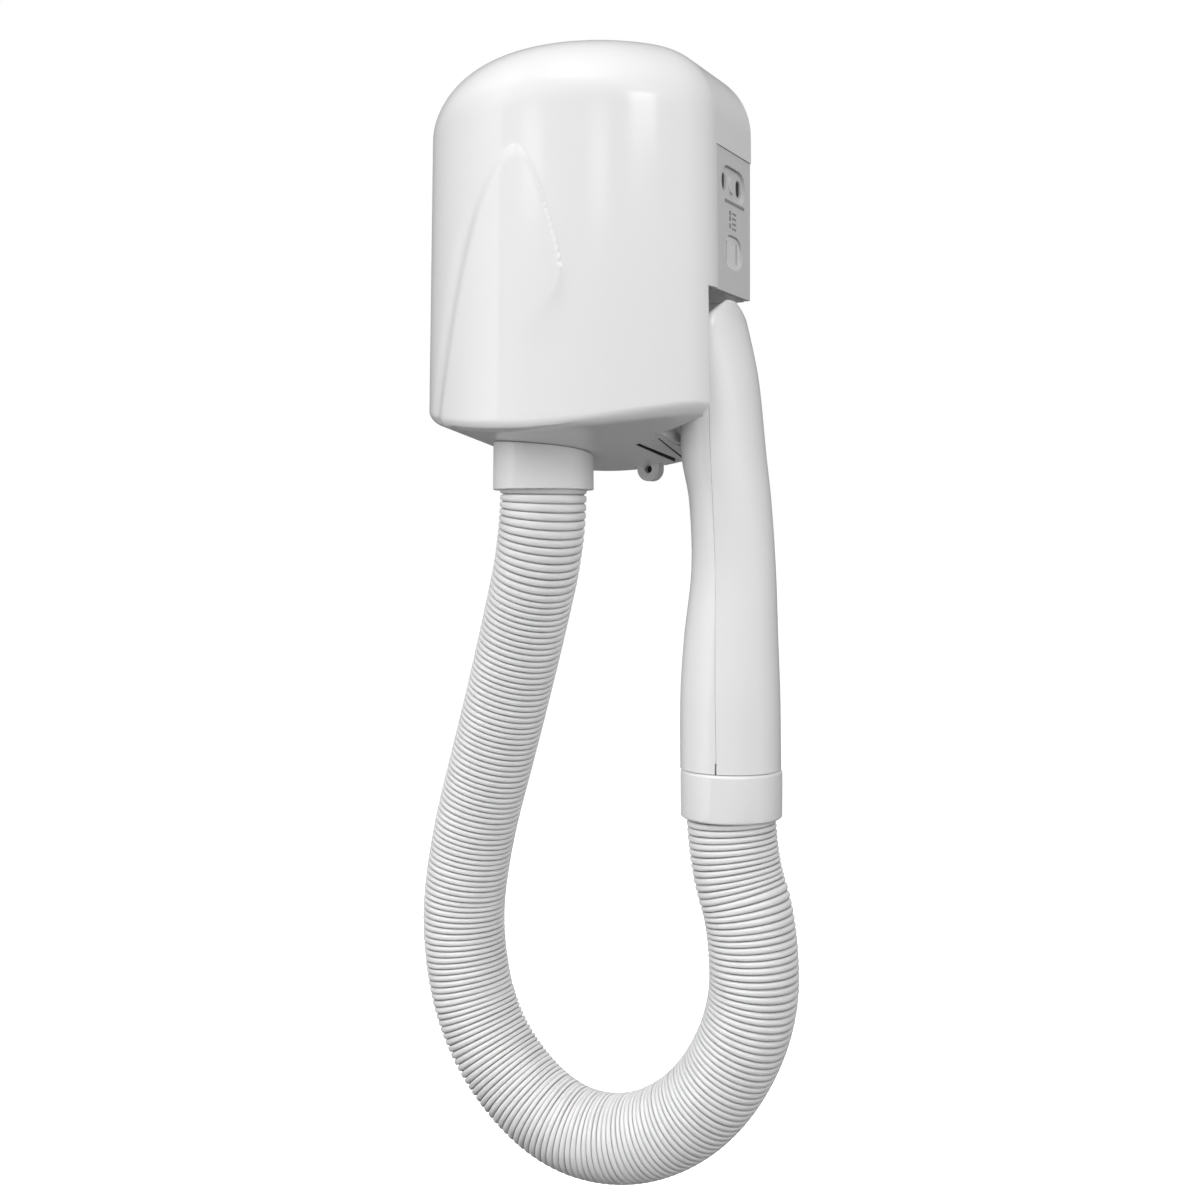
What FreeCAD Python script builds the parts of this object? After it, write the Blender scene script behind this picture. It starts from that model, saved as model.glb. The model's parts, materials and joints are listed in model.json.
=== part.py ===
"""Wall-mounted hose hair dryer with a shaver socket block.

Millimetres.  The origin is the centre of the base plate's back face, on the wall: +X is to the
right, towards the docked handset, +Y goes into the wall and +Z is up.
"""

import FreeCAD, Part
import math
import os
import re

import Sketcher
from FreeCAD import Placement, Rotation, Vector

DRIVING = [
    ("cover_width", 150, "front cover at its shoulder, side to side"),
    ("cover_depth", 99.2, "front cover at its shoulder, wall to the middle of its front"),
    ("draft", 0.0125, "how much each wall of the cover moves out per millimetre down"),
    ("cover_wall", 2.5, "thickness of the cover"),
    ("shoulder", 60, "height where the top starts to round over"),
    ("crown_height", 38.3, "rise of the rounded top above the shoulder"),
    ("top_side_radius", 43.5, "rounding of the top towards the sides, seen from above"),
    ("top_front_radius", 41, "rounding of the top towards the front, seen from above"),
    ("bulge_depth", 52, "how far the curved front stands out from the flat sides"),
    ("corner_radius", 30, "plan radius between a flat side and the curved front"),
    ("belly_radius", 184, "arc of the underside, seen from the front"),
    ("belly_low", -103, "lowest point of the underside, at the wall"),
    ("belly_rise", 0.15, "rise of the underside per millimetre away from the wall"),
    ("plate_thick", 3, "base plate"),
    ("gap", 0.3, "clearance between parts that only sit side by side"),
    ("block_bottom", -21.2, "underside of the socket block"),
    ("block_top", 46.3, "top of the socket panel"),
    ("panel_depth", 44, "socket panel, wall to front edge"),
    ("panel_thick", 3, "socket panel"),
    ("upper_socket_z", 31.5, "centre of the upper socket"),
    ("lower_socket_z", -1, "centre of the lower socket"),
    ("recess_wall", 50, "inner wall of the handset recess"),
    ("recess_depth", 51.5, "handset recess, wall to front edge"),
    ("recess_back_edge", 66, "right edge of the base plate behind the handset"),
    ("liner_thick", 2, "wall of the recess liner"),
    ("duct_x", -15, "axis of the air duct"),
    ("duct_y", -48, "axis of the air duct"),
    ("neck_radius", 22.7, "outside of the outlet neck"),
    ("neck_wall", 2, "wall of the outlet neck"),
    ("neck_bottom", -108, "lower end of the neck"),
    ("cuff_radius", 24.7, "outside of the upper hose cuff"),
    ("cuff_top", -88, "upper hose cuff before the underside trims it"),
    ("cuff_bottom", -114, "lower edge of the upper hose cuff"),
    ("hose_radius", 21.25, "outside of the hose over its ribs"),
    ("hose_bore", 19, "inside of the hose"),
    ("fan_height", 42, "height of the blower's axis"),
    ("scroll_radius", 40, "outside of the blower housing"),
    ("scroll_width", 34, "blower housing, back to front"),
    ("impeller_radius", 34, "blower wheel"),
    ("impeller_width", 25, "blower wheel, back to front"),
    ("blade_count", 24, "blades of the blower wheel"),
    ("shaft_radius", 1.5, "motor shaft"),
    ("motor_radius", 17, "motor can"),
    ("motor_long", 25, "motor can"),
    ("heater_radius", 23.5, "outside of the heater tube"),
    ("coil_count", 9, "turns of heating wire"),
    ("handset_x", 76, "axis of the handset's foot and of its cuff"),
    ("seam_lean", 0.0232, "how far the seam moves out per millimetre down"),
    ("seam_middle", -165, "height where the seam crosses the handset's axis"),
    ("handset_y", -28, "handset axis"),
    ("handset_wall", 2.2, "thickness of the handset shells"),
    ("handset_low", -246.5, "lower end of the handset shells"),
    ("swivel_radius", 24.1, "outside of the lower hose cuff"),
    ("swivel_bore", 20.55, "inside of the lower hose cuff"),
    ("swivel_bottom", -269.5, "lower edge of the lower hose cuff"),
    ("tail_radius", 20.5, "tail of the handset that the lower cuff turns on"),
    ("pin_spacing", 19, "distance between the round pins of a shaver plug"),
    ("blade_spacing", 12.7, "distance between the flat blades of a shaver plug"),
    ("screw_spacing_x", 90, "wall screws, across"),
    ("screw_spacing_z", 150, "wall screws, up"),
    ("screw_hole_radius", 2.5, "wall screw holes"),
    ("ear_x", 22, "locking ear under the housing"),
    ("ear_z", -102.8, "locking ear under the housing"),
    ("ear_radius", 6, "locking ear"),
    ("ear_hole_radius", 2.1, "hole in the locking ear"),
]

# The handset, from its foot to its domed top: height, inner edge and outer edge along X, half depth.
HANDSET_SECTIONS = [
    (-246.5, 51.6, 99.6, 23.3),
    (-212.0, 51.6, 99.2, 22.8),
    (-185.0, 53.3, 98.3, 21.3),
    (-152.0, 57.0, 97.2, 19.4),
    (-119.0, 56.0, 94.6, 20.6),
    (-98.0, 52.3, 92.0, 22.3),
    (-72.0, 52.3, 89.2, 22.8),
    (-60.0, 52.3, 87.5, 22.9),
    (-50.0, 52.6, 85.4, 22.9),
    (-43.0, 54.8, 83.6, 22.6),
    (-37.0, 60.5, 81.8, 21.6),
    (-32.0, 68.0, 80.0, 18.5),
    (-28.0, 72.0, 78.6, 12.0),
    (-25.0, 73.8, 77.2, 4.5),
]

# Centre line of the hose, from the upper cuff down, round the bend and up to the lower cuff.
HOSE_ROUTE = [
    (-15, -48, -114),
    (-15, -48, -136),
    (-33, -36, -183),
    (-52, -29, -238),
    (-70, -26, -293),
    (-77, -26, -343),
    (-64, -26, -396),
    (-24, -26, -434),
    (21, -26, -437),
    (62, -26, -412),
    (88, -28, -365),
    (87, -28, -320),
    (77, -28, -291),
    (76, -28, -270.8),
]

UP = Vector(0, 0, 1)
RIGHT = Vector(1, 0, 0)
OUT = Vector(0, -1, 0)
BIG = 300
PLUNGER_ROOM = 1.8
WELL_BELOW = -130
SOCKET_BACK = 60
LOFT_DEGREE = 3

doc = FreeCAD.newDocument("hose_hair_dryer")
sheet = doc.addObject("Spreadsheet::Sheet", "Dims")
for row, (alias, amount, meaning) in enumerate(DRIVING, 1):
    sheet.set(f"A{row}", meaning)
    sheet.set(f"B{row}", str(amount))
    sheet.setAlias(f"B{row}", alias)
doc.recompute()

ALIAS = re.compile(r"\b(" + "|".join(alias for alias, _, _ in DRIVING) + r")\b")
nodes = []


# ---------------------------------------------------------------- helpers


def value(expression):
    """The number that an expression of the sheet's cells stands for."""
    return float(sheet.evalExpression(str(expression)))


def linked(expression):
    """The same expression as another object of the document has to write it."""
    return ALIAS.sub(r"Dims.\1", str(expression))


def node(piece, label):
    """Name a finished sub-part and put it on the list of pieces to write."""
    piece.Label = label
    nodes.append(piece)
    return piece


def bind(piece, **expressions):
    """Tie properties of a piece to the sheet."""
    for name, expression in expressions.items():
        piece.setExpression(name, linked(expression))


def place(piece, x, y, z):
    """Tie the place of a piece to the sheet."""
    for axis, expression in zip("xyz", (x, y, z)):
        piece.setExpression("Placement.Base." + axis, linked(expression))
    return piece


def box(x, y, z):
    """A Part::Box from (low, high) expressions along each axis."""
    piece = doc.addObject("Part::Box", "box")
    for name, (low, high) in zip(("Length", "Width", "Height"), (x, y, z)):
        piece.setExpression(name, linked(f"({high}) - ({low})"))
    return place(piece, x[0], y[0], z[0])


def cylinder(x, y, z, radius, height, direction=UP):
    """A Part::Cylinder that starts at a point and runs along a direction."""
    piece = doc.addObject("Part::Cylinder", "cylinder")
    piece.Placement = Placement(Vector(), Rotation(UP, direction))
    bind(piece, Radius=radius, Height=height)
    return place(piece, x, y, z)


def ring(x, y, z, radius, wire_radius, direction=UP):
    """A Part::Torus, for one turn of a wound wire."""
    piece = doc.addObject("Part::Torus", "ring")
    piece.Placement = Placement(Vector(), Rotation(UP, direction))
    bind(piece, Radius1=radius, Radius2=wire_radius)
    return place(piece, x, y, z)


def fuse(*pieces):
    piece = doc.addObject("Part::MultiFuse", "fuse")
    piece.Shapes = list(pieces)
    return piece


def common(first, second):
    piece = doc.addObject("Part::Common", "common")
    piece.Base = first
    piece.Tool = second
    return piece


def cut(base, *tools):
    piece = doc.addObject("Part::Cut", "cut")
    piece.Base = base
    piece.Tool = tools[0] if len(tools) == 1 else fuse(*tools)
    return piece


def group(*pieces):
    """Separate solids kept as one sub-part."""
    piece = doc.addObject("Part::Compound", "group")
    piece.Links = list(pieces)
    return piece


def shaped(shape, name="form"):
    """A Part::Feature for a form that no primitive or sketch gives."""
    piece = doc.addObject("Part::Feature", name)
    piece.Shape = shape
    return piece


def sketch_on(body, role, offset=0):
    """A sketch on one of the body's origin planes, moved along the plane's normal."""
    plane = next(item for item in body.Origin.OriginFeatures if item.Role == role)
    sketch = body.newObject("Sketcher::SketchObject", "sketch")
    sketch.AttachmentSupport = [(plane, "")]
    sketch.MapMode = "FlatFace"
    sketch.setExpression("AttachmentOffset.Base.z", linked(offset))
    return sketch


def hold(sketch, kind, *where, size):
    """Add a constraint whose size is bound to the sheet."""
    index = sketch.addConstraint(Sketcher.Constraint(kind, *where, value(size)))
    sketch.setExpression(f"Constraints[{index}]", linked(size))


def draw_circle(sketch, x, y, radius):
    centre = Vector(value(x), value(y), 0)
    index = sketch.addGeometry(Part.Circle(centre, UP, value(radius)))
    hold(sketch, "DistanceX", -1, 1, index, 3, size=x)
    hold(sketch, "DistanceY", -1, 1, index, 3, size=y)
    hold(sketch, "Radius", index, size=radius)


def draw_polygon(sketch, corners):
    """A closed outline of straight lines through corners given as expressions."""
    points = [Vector(value(x), value(y), 0) for x, y in corners]
    count = len(points)
    for index in range(count):
        sketch.addGeometry(Part.LineSegment(points[index], points[(index + 1) % count]))
    for index, (x, y) in enumerate(corners):
        sketch.addConstraint(Sketcher.Constraint("Coincident", (index - 1) % count, 2, index, 1))
        hold(sketch, "DistanceX", -1, 1, index, 1, size=x)
        hold(sketch, "DistanceY", -1, 1, index, 1, size=y)


def draw_rectangle(sketch, x, y):
    draw_polygon(sketch, [(x[0], y[0]), (x[1], y[0]), (x[1], y[1]), (x[0], y[1])])


def draw_stadium(sketch, x, y, half_straight, radius, upright=False):
    """A slot with round ends, its straight sides along the sketch's X or, upright, its Y."""
    centre = Vector(value(x), value(y), 0)
    reach = value(half_straight)
    along = Vector(0, 1, 0) if upright else Vector(1, 0, 0)
    across = Vector(along.y, along.x, 0) * value(radius)
    ends = [centre + along * reach, centre - along * reach]
    start = math.pi / 2 if upright else 0
    sketch.addGeometry(Part.LineSegment(ends[1] + across, ends[0] + across))
    sketch.addGeometry(Part.LineSegment(ends[1] - across, ends[0] - across))
    for end, turn in zip(ends, (start, start + math.pi)):
        full = Part.Circle(end, UP, value(radius))
        sketch.addGeometry(Part.ArcOfCircle(full, turn - math.pi / 2, turn + math.pi / 2))


def pad(body, sketch, length, reverse=False):
    feature = body.newObject("PartDesign::Pad", "pad")
    feature.Profile = sketch
    feature.setExpression("Length", linked(length))
    feature.Reversed = reverse
    return feature


def pocket(body, sketch, length=None, reverse=False):
    """Cut a sketch into the body, right through when no length is given."""
    feature = body.newObject("PartDesign::Pocket", "pocket")
    feature.Profile = sketch
    if length is None:
        feature.Type = "ThroughAll"
        feature.Midplane = True
    else:
        feature.setExpression("Length", linked(length))
    feature.Reversed = reverse
    return feature


def revolved(label, corners, x, y, z, direction=UP):
    """A body of revolution: its profile is (radius, height) corners about the body's own axis."""
    body = doc.addObject("PartDesign::Body", label)
    sketch = sketch_on(body, "XZ_Plane")
    draw_polygon(sketch, corners)
    feature = body.newObject("PartDesign::Revolution", "revolution")
    feature.Profile = sketch
    feature.ReferenceAxis = (sketch, ["V_Axis"])
    feature.Angle = 360
    body.Placement = Placement(Vector(), Rotation(UP, direction))
    place(body, x, y, z)
    return body


def turned(label, corners, x, y, z, direction=UP):
    """A finished sub-part that is one body of revolution."""
    return node(revolved(label, corners, x, y, z, direction), label)


# ---------------------------------------------------------------- housing form


def housing_outline(half_width, front, height, back):
    """Plan outline of the housing: flat sides, round corners and a bulging front."""
    scale = half_width / value("cover_width / 2")
    corner = value("corner_radius") * scale
    bulge = value("bulge_depth") * scale
    corner_x = half_width - corner
    side_y = -(front - bulge)
    front_radius = (corner_x**2 + bulge**2 - corner**2) / (2 * (bulge - corner))
    front_y = -front + front_radius
    lean = math.atan2(side_y - front_y, corner_x)

    def on_corner(angle, side):
        along = corner_x + corner * math.cos(angle)
        return Vector(side * along, side_y + corner * math.sin(angle), height)

    edges = [
        Part.LineSegment(Vector(-half_width, back, height), Vector(half_width, back, height)),
        Part.LineSegment(Vector(half_width, back, height), on_corner(0, 1)),
        Part.Arc(on_corner(0, 1), on_corner(lean / 2, 1), on_corner(lean, 1)),
        Part.Arc(on_corner(lean, 1), Vector(0, -front, height), on_corner(lean, -1)),
        Part.Arc(on_corner(lean, -1), on_corner(lean / 2, -1), on_corner(0, -1)),
        Part.LineSegment(on_corner(0, -1), Vector(-half_width, back, height)),
    ]
    return Part.Wire([edge.toShape() for edge in edges])


def housing_form(inset, back):
    """The housing's outer form, or its hollow when inset by the wall, as a solid."""
    half_width = value("cover_width / 2")
    shoulder = value("shoulder")
    side_radius = value("top_side_radius")
    front_radius = value("top_front_radius")
    steps = [math.radians(angle) for angle in range(0, 91, 15)]
    sections = []
    for angle in steps:
        width = half_width - side_radius + (side_radius - inset) * math.cos(angle)
        front = value("cover_depth") - front_radius + (front_radius - inset) * math.cos(angle)
        height = shoulder + (value("crown_height") - inset) * math.sin(angle)
        sections.append(housing_outline(width, front, height, back))
    crown = Part.makeLoft(sections, True, False, False, LOFT_DEGREE)
    spread = value("draft") * (shoulder - WELL_BELOW) - inset
    lowest = housing_outline(half_width + spread, value("cover_depth") + spread, WELL_BELOW, back)
    walls = Part.makeLoft([lowest, sections[0]], True, True)
    slope = Vector(0, -1, value("belly_rise"))
    axis = Vector(0, 0, value("belly_low") + value("belly_radius") * slope.Length)
    belly = Part.makeCylinder(value("belly_radius") - inset, 2 * BIG, axis - slope * BIG, slope)
    return walls.fuse(crown).common(belly)


def build_cover():
    """Front cover: a thin shell, open at the back, with every opening the other parts need."""
    outside = shaped(housing_form(0, 0), "cover_outside")
    hollow = shaped(housing_form(value("cover_wall"), 1), "cover_hollow")
    shell = cut(outside, hollow)
    panel_hole = box(
        ("cover_width / 2 - 10", "cover_width / 2 + 9"),
        ("0 - panel_depth - gap", "1"),
        ("block_bottom", "block_top + gap"),
    )
    recess = box(
        ("recess_wall - liner_thick - gap", "cover_width / 2 + 9"),
        ("0 - recess_depth - liner_thick - gap", "1"),
        (WELL_BELOW, "block_bottom"),
    )
    neck_hole = cylinder("duct_x", "duct_y", "-120", "neck_radius + 0.5", 60)
    ear_span = ("ear_x - ear_radius - 0.6", "ear_x + ear_radius + 0.6")
    ear_notch = box(ear_span, ("-6.6", "1"), ("-115", "-90"))
    slots = [
        box(("0 - cover_width / 2 - 9", "0 - cover_width / 2 + 6"), ("-42", "-12"), (low, f"{low} + 2.4"))
        for low in range(-60, 31, 9)
    ]
    window = plunger_prism(PLUNGER_ROOM, 0.6)
    return node(cut(shell, panel_hole, recess, neck_hole, ear_notch, window, *slots), "front_cover"), shell


# ---------------------------------------------------------------- dock plunger


def plunger_prism(room, margin):
    """Upright wedge, its tip towards the wall: the plunger's foot, with room to slide and a margin."""
    front_y, back_y = -45 - margin, -4 + margin
    corners = [
        Vector(36.2 - room, front_y, -110),
        Vector(45.5 + margin, front_y, -110),
        Vector(40.2 + margin, back_y, -110),
        Vector(38.2 - 1.3 * room, back_y, -110),
    ]
    outline = Part.makePolygon(corners + corners[:1])
    return shaped(Part.Face(outline).extrude(Vector(0, 0, 30)), "wedge")


def build_plunger(shell):
    """The sprung wedge whose nose the docked handset pushes in to stop the motor."""
    foot = common(shell, plunger_prism(0, 0))
    post = box((37.4, 41.4), (-28, -22), (-94.4, -75.5))
    guide = cylinder(26, -25, -86, 1.6, 12, RIGHT)
    arm = box((41, 51), (-26.5, -22.5), (-89.6, -88.4))
    nose = box((50.4, 51.6), (-26.5, -22.5), (-96, -88.4))
    node(fuse(foot, post, guide, arm, nose), "dock_plunger")
    turns = [ring(f"26.8 + 2.45 * {turn}", -25, -86, 2.9, 0.35, RIGHT) for turn in range(5)]
    node(group(*turns), "plunger_spring")
    bracket = box((21, 23.6), (-34, "0 - plate_thick"), (-91.5, -66))
    eye = cylinder(20, -25, -86, 1.9, 5, RIGHT)
    node(cut(bracket, eye), "switch_bracket")
    case = box((23.6, 30.6), (-32, -18), (-80, -68))
    button = box((30.6, 35.4), (-26.5, -23.5), (-79, -76))
    node(fuse(case, button), "microswitch")


# ---------------------------------------------------------------- base plate and recess


def build_base_plate():
    body = doc.addObject("PartDesign::Body", "base_plate")
    sketch = sketch_on(body, "XZ_Plane")
    half = value("cover_width / 2 - cover_wall - gap")
    shoulder = value("shoulder")
    across = value("top_side_radius - cover_wall - gap")
    rise = value("crown_height - cover_wall - gap")
    inner = half - across
    top = shoulder + rise
    low_middle = value("belly_low + cover_wall + gap + belly_rise * plate_thick")
    belly = value("belly_radius - cover_wall - gap")
    low_side = low_middle + belly - math.sqrt(belly**2 - half**2)
    edges = [
        Part.LineSegment(Vector(half, low_side), Vector(half, shoulder)),
        Part.ArcOfEllipse(Part.Ellipse(Vector(inner, shoulder), across, rise), 0, math.pi / 2),
        Part.LineSegment(Vector(inner, top), Vector(-inner, top)),
        Part.ArcOfEllipse(Part.Ellipse(Vector(-inner, shoulder), across, rise), math.pi / 2, math.pi),
        Part.LineSegment(Vector(-half, shoulder), Vector(-half, low_side)),
        Part.Arc(Vector(-half, low_side), Vector(0, low_middle), Vector(half, low_side)),
    ]
    sketch.addGeometry(edges)
    pad(body, sketch, "plate_thick")

    inside_panel = "cover_width / 2 - 2 * gap - panel_thick"
    open_side = sketch_on(body, "XZ_Plane")
    draw_polygon(
        open_side,
        [
            (inside_panel, "block_top + 2 * gap"),
            (BIG, "block_top + 2 * gap"),
            (BIG, WELL_BELOW),
            ("recess_back_edge", WELL_BELOW),
            ("recess_back_edge", "block_bottom"),
            (inside_panel, "block_bottom"),
        ],
    )
    pocket(body, open_side)

    ear = sketch_on(body, "XZ_Plane")
    draw_circle(ear, "ear_x", "ear_z", "ear_radius")
    pad(body, ear, 6)
    root = sketch_on(body, "XZ_Plane")
    draw_rectangle(root, ("ear_x - ear_radius", "ear_x + ear_radius"), ("ear_z", "ear_z + 10"))
    pad(body, root, 6)
    eye = sketch_on(body, "XZ_Plane")
    draw_circle(eye, "ear_x", "ear_z", "ear_hole_radius")
    pocket(body, eye)

    for side in (-1, 1):
        for level in (-1, 1):
            hole = sketch_on(body, "XZ_Plane")
            draw_circle(
                hole,
                f"duct_x + {side} * screw_spacing_x / 2",
                f"{level} * screw_spacing_z / 2",
                "screw_hole_radius",
            )
            pocket(body, hole)
    entry = sketch_on(body, "XZ_Plane")
    draw_circle(entry, -57, 0, 8)
    pocket(body, entry)
    node(body, "base_plate")


def build_recess():
    """Liner of the recess that the handset hangs in, and the spigot its mouth goes over."""
    outer = box(
        ("recess_wall - liner_thick", "cover_width / 2 - 2 * gap - panel_thick"),
        ("0 - recess_depth - liner_thick", "0 - plate_thick - gap"),
        (WELL_BELOW, "block_bottom + liner_thick"),
    )
    hollow = box(("recess_wall", 90), ("0 - recess_depth", 5), (WELL_BELOW - 1, "block_bottom"))
    tip_slot = box((40, 60), (-28.5, -21.5), (-110, -82))
    body = shaped(housing_form(0, 1), "underside_form")
    node(common(cut(outer, hollow, tip_slot), body), "recess_liner")

    spigot = doc.addObject("PartDesign::Body", "dock_spigot")
    outline = sketch_on(spigot, "YZ_Plane", "recess_wall")
    draw_stadium(outline, "handset_y", -68, 11, 9, upright=True)
    pad(spigot, outline, 8)
    bore = sketch_on(spigot, "YZ_Plane", "recess_wall + 8")
    draw_stadium(bore, "handset_y", -68, 11, 6.5, upright=True)
    pocket(spigot, bore, 6)
    node(spigot, "dock_spigot")


# ---------------------------------------------------------------- shaver socket block


def build_sockets():
    """Panel, two socket inserts, their contacts and the isolating transformer behind them."""
    middle_y = "0 - panel_depth / 2"
    panel = doc.addObject("PartDesign::Body", "socket_panel")
    plate = sketch_on(panel, "YZ_Plane", "cover_width / 2 - gap - panel_thick")
    draw_rectangle(plate, ("0 - panel_depth", "0 - gap"), ("block_bottom + gap", "block_top"))
    pad(panel, plate, "panel_thick")
    for height, half_straight, radius in (("upper_socket_z", 7, 8), ("lower_socket_z", 3.5, 8)):
        hole = sketch_on(panel, "YZ_Plane", "cover_width / 2")
        draw_stadium(hole, middle_y, height, half_straight, radius)
        pocket(panel, hole)
    node(panel, "socket_panel")

    upper = doc.addObject("PartDesign::Body", "upper_socket")
    face = sketch_on(upper, "YZ_Plane", SOCKET_BACK)
    draw_stadium(face, middle_y, "upper_socket_z", 7, 7.8)
    pad(upper, face, 13.2)
    boss = sketch_on(upper, "YZ_Plane", SOCKET_BACK + 13.2)
    draw_stadium(boss, middle_y, "upper_socket_z", 1.2, 2.8, upright=True)
    pad(upper, boss, 1)
    for side in (-1, 1):
        pin_y = f"{middle_y} + {side} * pin_spacing / 2"
        funnel = sketch_on(upper, "YZ_Plane", SOCKET_BACK + 13.2)
        draw_stadium(funnel, pin_y, "upper_socket_z", 1, 3.2, upright=True)
        pocket(upper, funnel, 2)
        pin = sketch_on(upper, "YZ_Plane", SOCKET_BACK + 13.2)
        draw_circle(pin, pin_y, "upper_socket_z", 2.6)
        pocket(upper, pin, 12)
    node(upper, "upper_socket")

    lower = doc.addObject("PartDesign::Body", "lower_socket")
    face = sketch_on(lower, "YZ_Plane", SOCKET_BACK)
    draw_stadium(face, middle_y, "lower_socket_z", 3.5, 7.8)
    pad(lower, face, 13.6)
    for side in (-1, 1):
        blade = sketch_on(lower, "YZ_Plane", SOCKET_BACK + 13.6)
        low_y = f"{middle_y} + {side} * blade_spacing / 2 - 1.1"
        draw_rectangle(
            blade, (low_y, f"{low_y} + 2.2"), ("lower_socket_z - 5", "lower_socket_z + 5")
        )
        pocket(lower, blade, 12)
    node(lower, "lower_socket")

    strips = []
    for height, spacing in (("upper_socket_z", "pin_spacing"), ("lower_socket_z", "blade_spacing")):
        for side in (-1, 1):
            middle = f"{middle_y} + {side} * {spacing} / 2"
            strips.append(
                box(
                    (SOCKET_BACK - 5, SOCKET_BACK - 0.4),
                    (f"{middle} - 2", f"{middle} + 2"),
                    (f"{height} - 4", f"{height} + 4"),
                )
            )
    node(group(*strips), "socket_contacts")

    core = box((30, 50), (-42, -8), (-4, 44))
    windows = [box((29, 51), low, (4, 36)) for low in ((-38, -30), (-20, -12))]
    node(cut(core, *windows), "transformer_core")
    outer = box((24.5, 54.5), (-37.5, -12.5), (5, 35))
    leg = box((29.7, 50.3), (-30.3, -19.7), (4, 36))
    node(cut(outer, leg), "transformer_winding")


# ---------------------------------------------------------------- blower, motor and heater


def build_blower():
    back_y = "duct_y + scroll_width / 2"

    def scroll(inset):
        radius = f"scroll_radius - {inset}"
        width = f"scroll_width - 2 * {inset}"
        drum = cylinder("duct_x", f"{back_y} - {inset}", "fan_height", radius, width, OUT)
        throat = box(
            (f"duct_x - 20 + {inset}", f"duct_x + 20 - {inset}"),
            (f"duct_y - scroll_width / 2 + {inset}", f"{back_y} - {inset}"),
            (f"-4 - {inset} * 0.5", "fan_height"),
        )
        return fuse(drum, throat)

    def split(y):
        eye = cylinder("duct_x", "duct_y + 30", "fan_height", 18, 30, OUT)
        shaft_hole = cylinder("duct_x", "duct_y + 2", "fan_height", "shaft_radius + 3", 30, OUT)
        return cut(common(scroll(0), box((-90, 60), y, (-4, 90))), scroll(2), eye, shaft_hole)

    node(split(("duct_y + gap / 2", "duct_y + 40")), "blower_back")
    node(split(("duct_y - 40", "duct_y - gap / 2")), "blower_front")

    wheel = doc.addObject("PartDesign::Body", "impeller")
    disc = sketch_on(wheel, "XZ_Plane")
    draw_circle(disc, 0, 0, "impeller_radius")
    draw_circle(disc, 0, 0, "shaft_radius")
    pad(wheel, disc, 1.6)
    hub = sketch_on(wheel, "XZ_Plane")
    draw_circle(hub, 0, 0, 5)
    draw_circle(hub, 0, 0, "shaft_radius")
    pad(wheel, hub, 10, reverse=True)
    blade = sketch_on(wheel, "XZ_Plane")
    draw_polygon(blade, [(24, -0.6), ("impeller_radius - 0.5", 3), ("impeller_radius - 1", 4), (24, 0.6)])
    vane = pad(wheel, blade, "impeller_width", reverse=True)
    doc.recompute()
    pattern = wheel.newObject("PartDesign::PolarPattern", "vanes")
    pattern.Originals = [vane]
    pattern.Axis = (disc, ["N_Axis"])
    pattern.Angle = 360
    pattern.setExpression("Occurrences", linked("blade_count"))
    wheel.Tip = pattern
    place(wheel, "duct_x", "duct_y - 12.4", "fan_height")
    node(wheel, "impeller")

    shaft = cylinder("duct_x", "duct_y - 2.4", "fan_height", "shaft_radius", 42, OUT)
    node(shaft, "motor_shaft")
    turned(
        "motor_can",
        [
            ("shaft_radius + 0.05", 0),
            (6, 0),
            (6, 2),
            ("motor_radius", 2),
            ("motor_radius", "motor_long"),
            ("shaft_radius + 0.05", "motor_long"),
            ("shaft_radius + 0.05", 22),
            ("motor_radius - 1.2", 22),
            ("motor_radius - 1.2", 5),
            ("shaft_radius + 0.05", 5),
        ],
        "duct_x",
        "duct_y - scroll_width / 2",
        "fan_height",
        OUT,
    )
    node(box((3.5, 8.5), (-84, -70), (33, 51)), "suppressor")
    screws = []
    for x, z in ((-50.5, 70), (20.5, 70), (-38.5, 6), (8.5, 6)):
        shank = cylinder(x, -35, z, 1.4, 26, OUT)
        screws.append(fuse(shank, cylinder(x, -33, z, 3, 2.4, OUT)))
    node(group(*screws), "blower_screws")


def build_heater():
    """Tube under the blower with a wound mica cross, a cut-out and a fuse."""
    turned(
        "heater_tube",
        [
            ("heater_radius - 1.5", -57),
            ("heater_radius", -57),
            ("heater_radius", -7),
            (26, -7),
            (26, "-4 - gap"),
            (17, "-4 - gap"),
            (17, -6),
            ("heater_radius - 1.5", -8),
        ],
        "duct_x",
        "duct_y",
        0,
    )
    board = [
        box(("duct_x - 20", "duct_x + 20"), ("duct_y - 0.5", "duct_y + 0.5"), (-54, -11)),
        box(("duct_x - 0.5", "duct_x + 0.5"), ("duct_y - 20", "duct_y + 20"), (-54, -11)),
    ]
    node(fuse(*board), "heater_cross")
    turns = [
        ring("duct_x", "duct_y", f"-51 + 36 * {turn} / (coil_count - 1)", 17.5, 0.5)
        for turn in range(int(value("coil_count")))
    ]
    node(group(*turns), "heater_coil")
    node(cylinder("duct_x + 6.5", "duct_y + 6.5", -50, 5, 4), "thermostat")
    node(cylinder("duct_x - 9", "duct_y - 9", -45, 1.8, 12), "thermal_fuse")
    turned(
        "outlet_neck",
        [
            ("neck_radius - neck_wall", "neck_bottom"),
            ("neck_radius", "neck_bottom"),
            ("neck_radius", -60),
            (26, -60),
            (26, "-57 - gap"),
            ("neck_radius - neck_wall", "-57 - gap"),
        ],
        "duct_x",
        "duct_y",
        0,
    )


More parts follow.
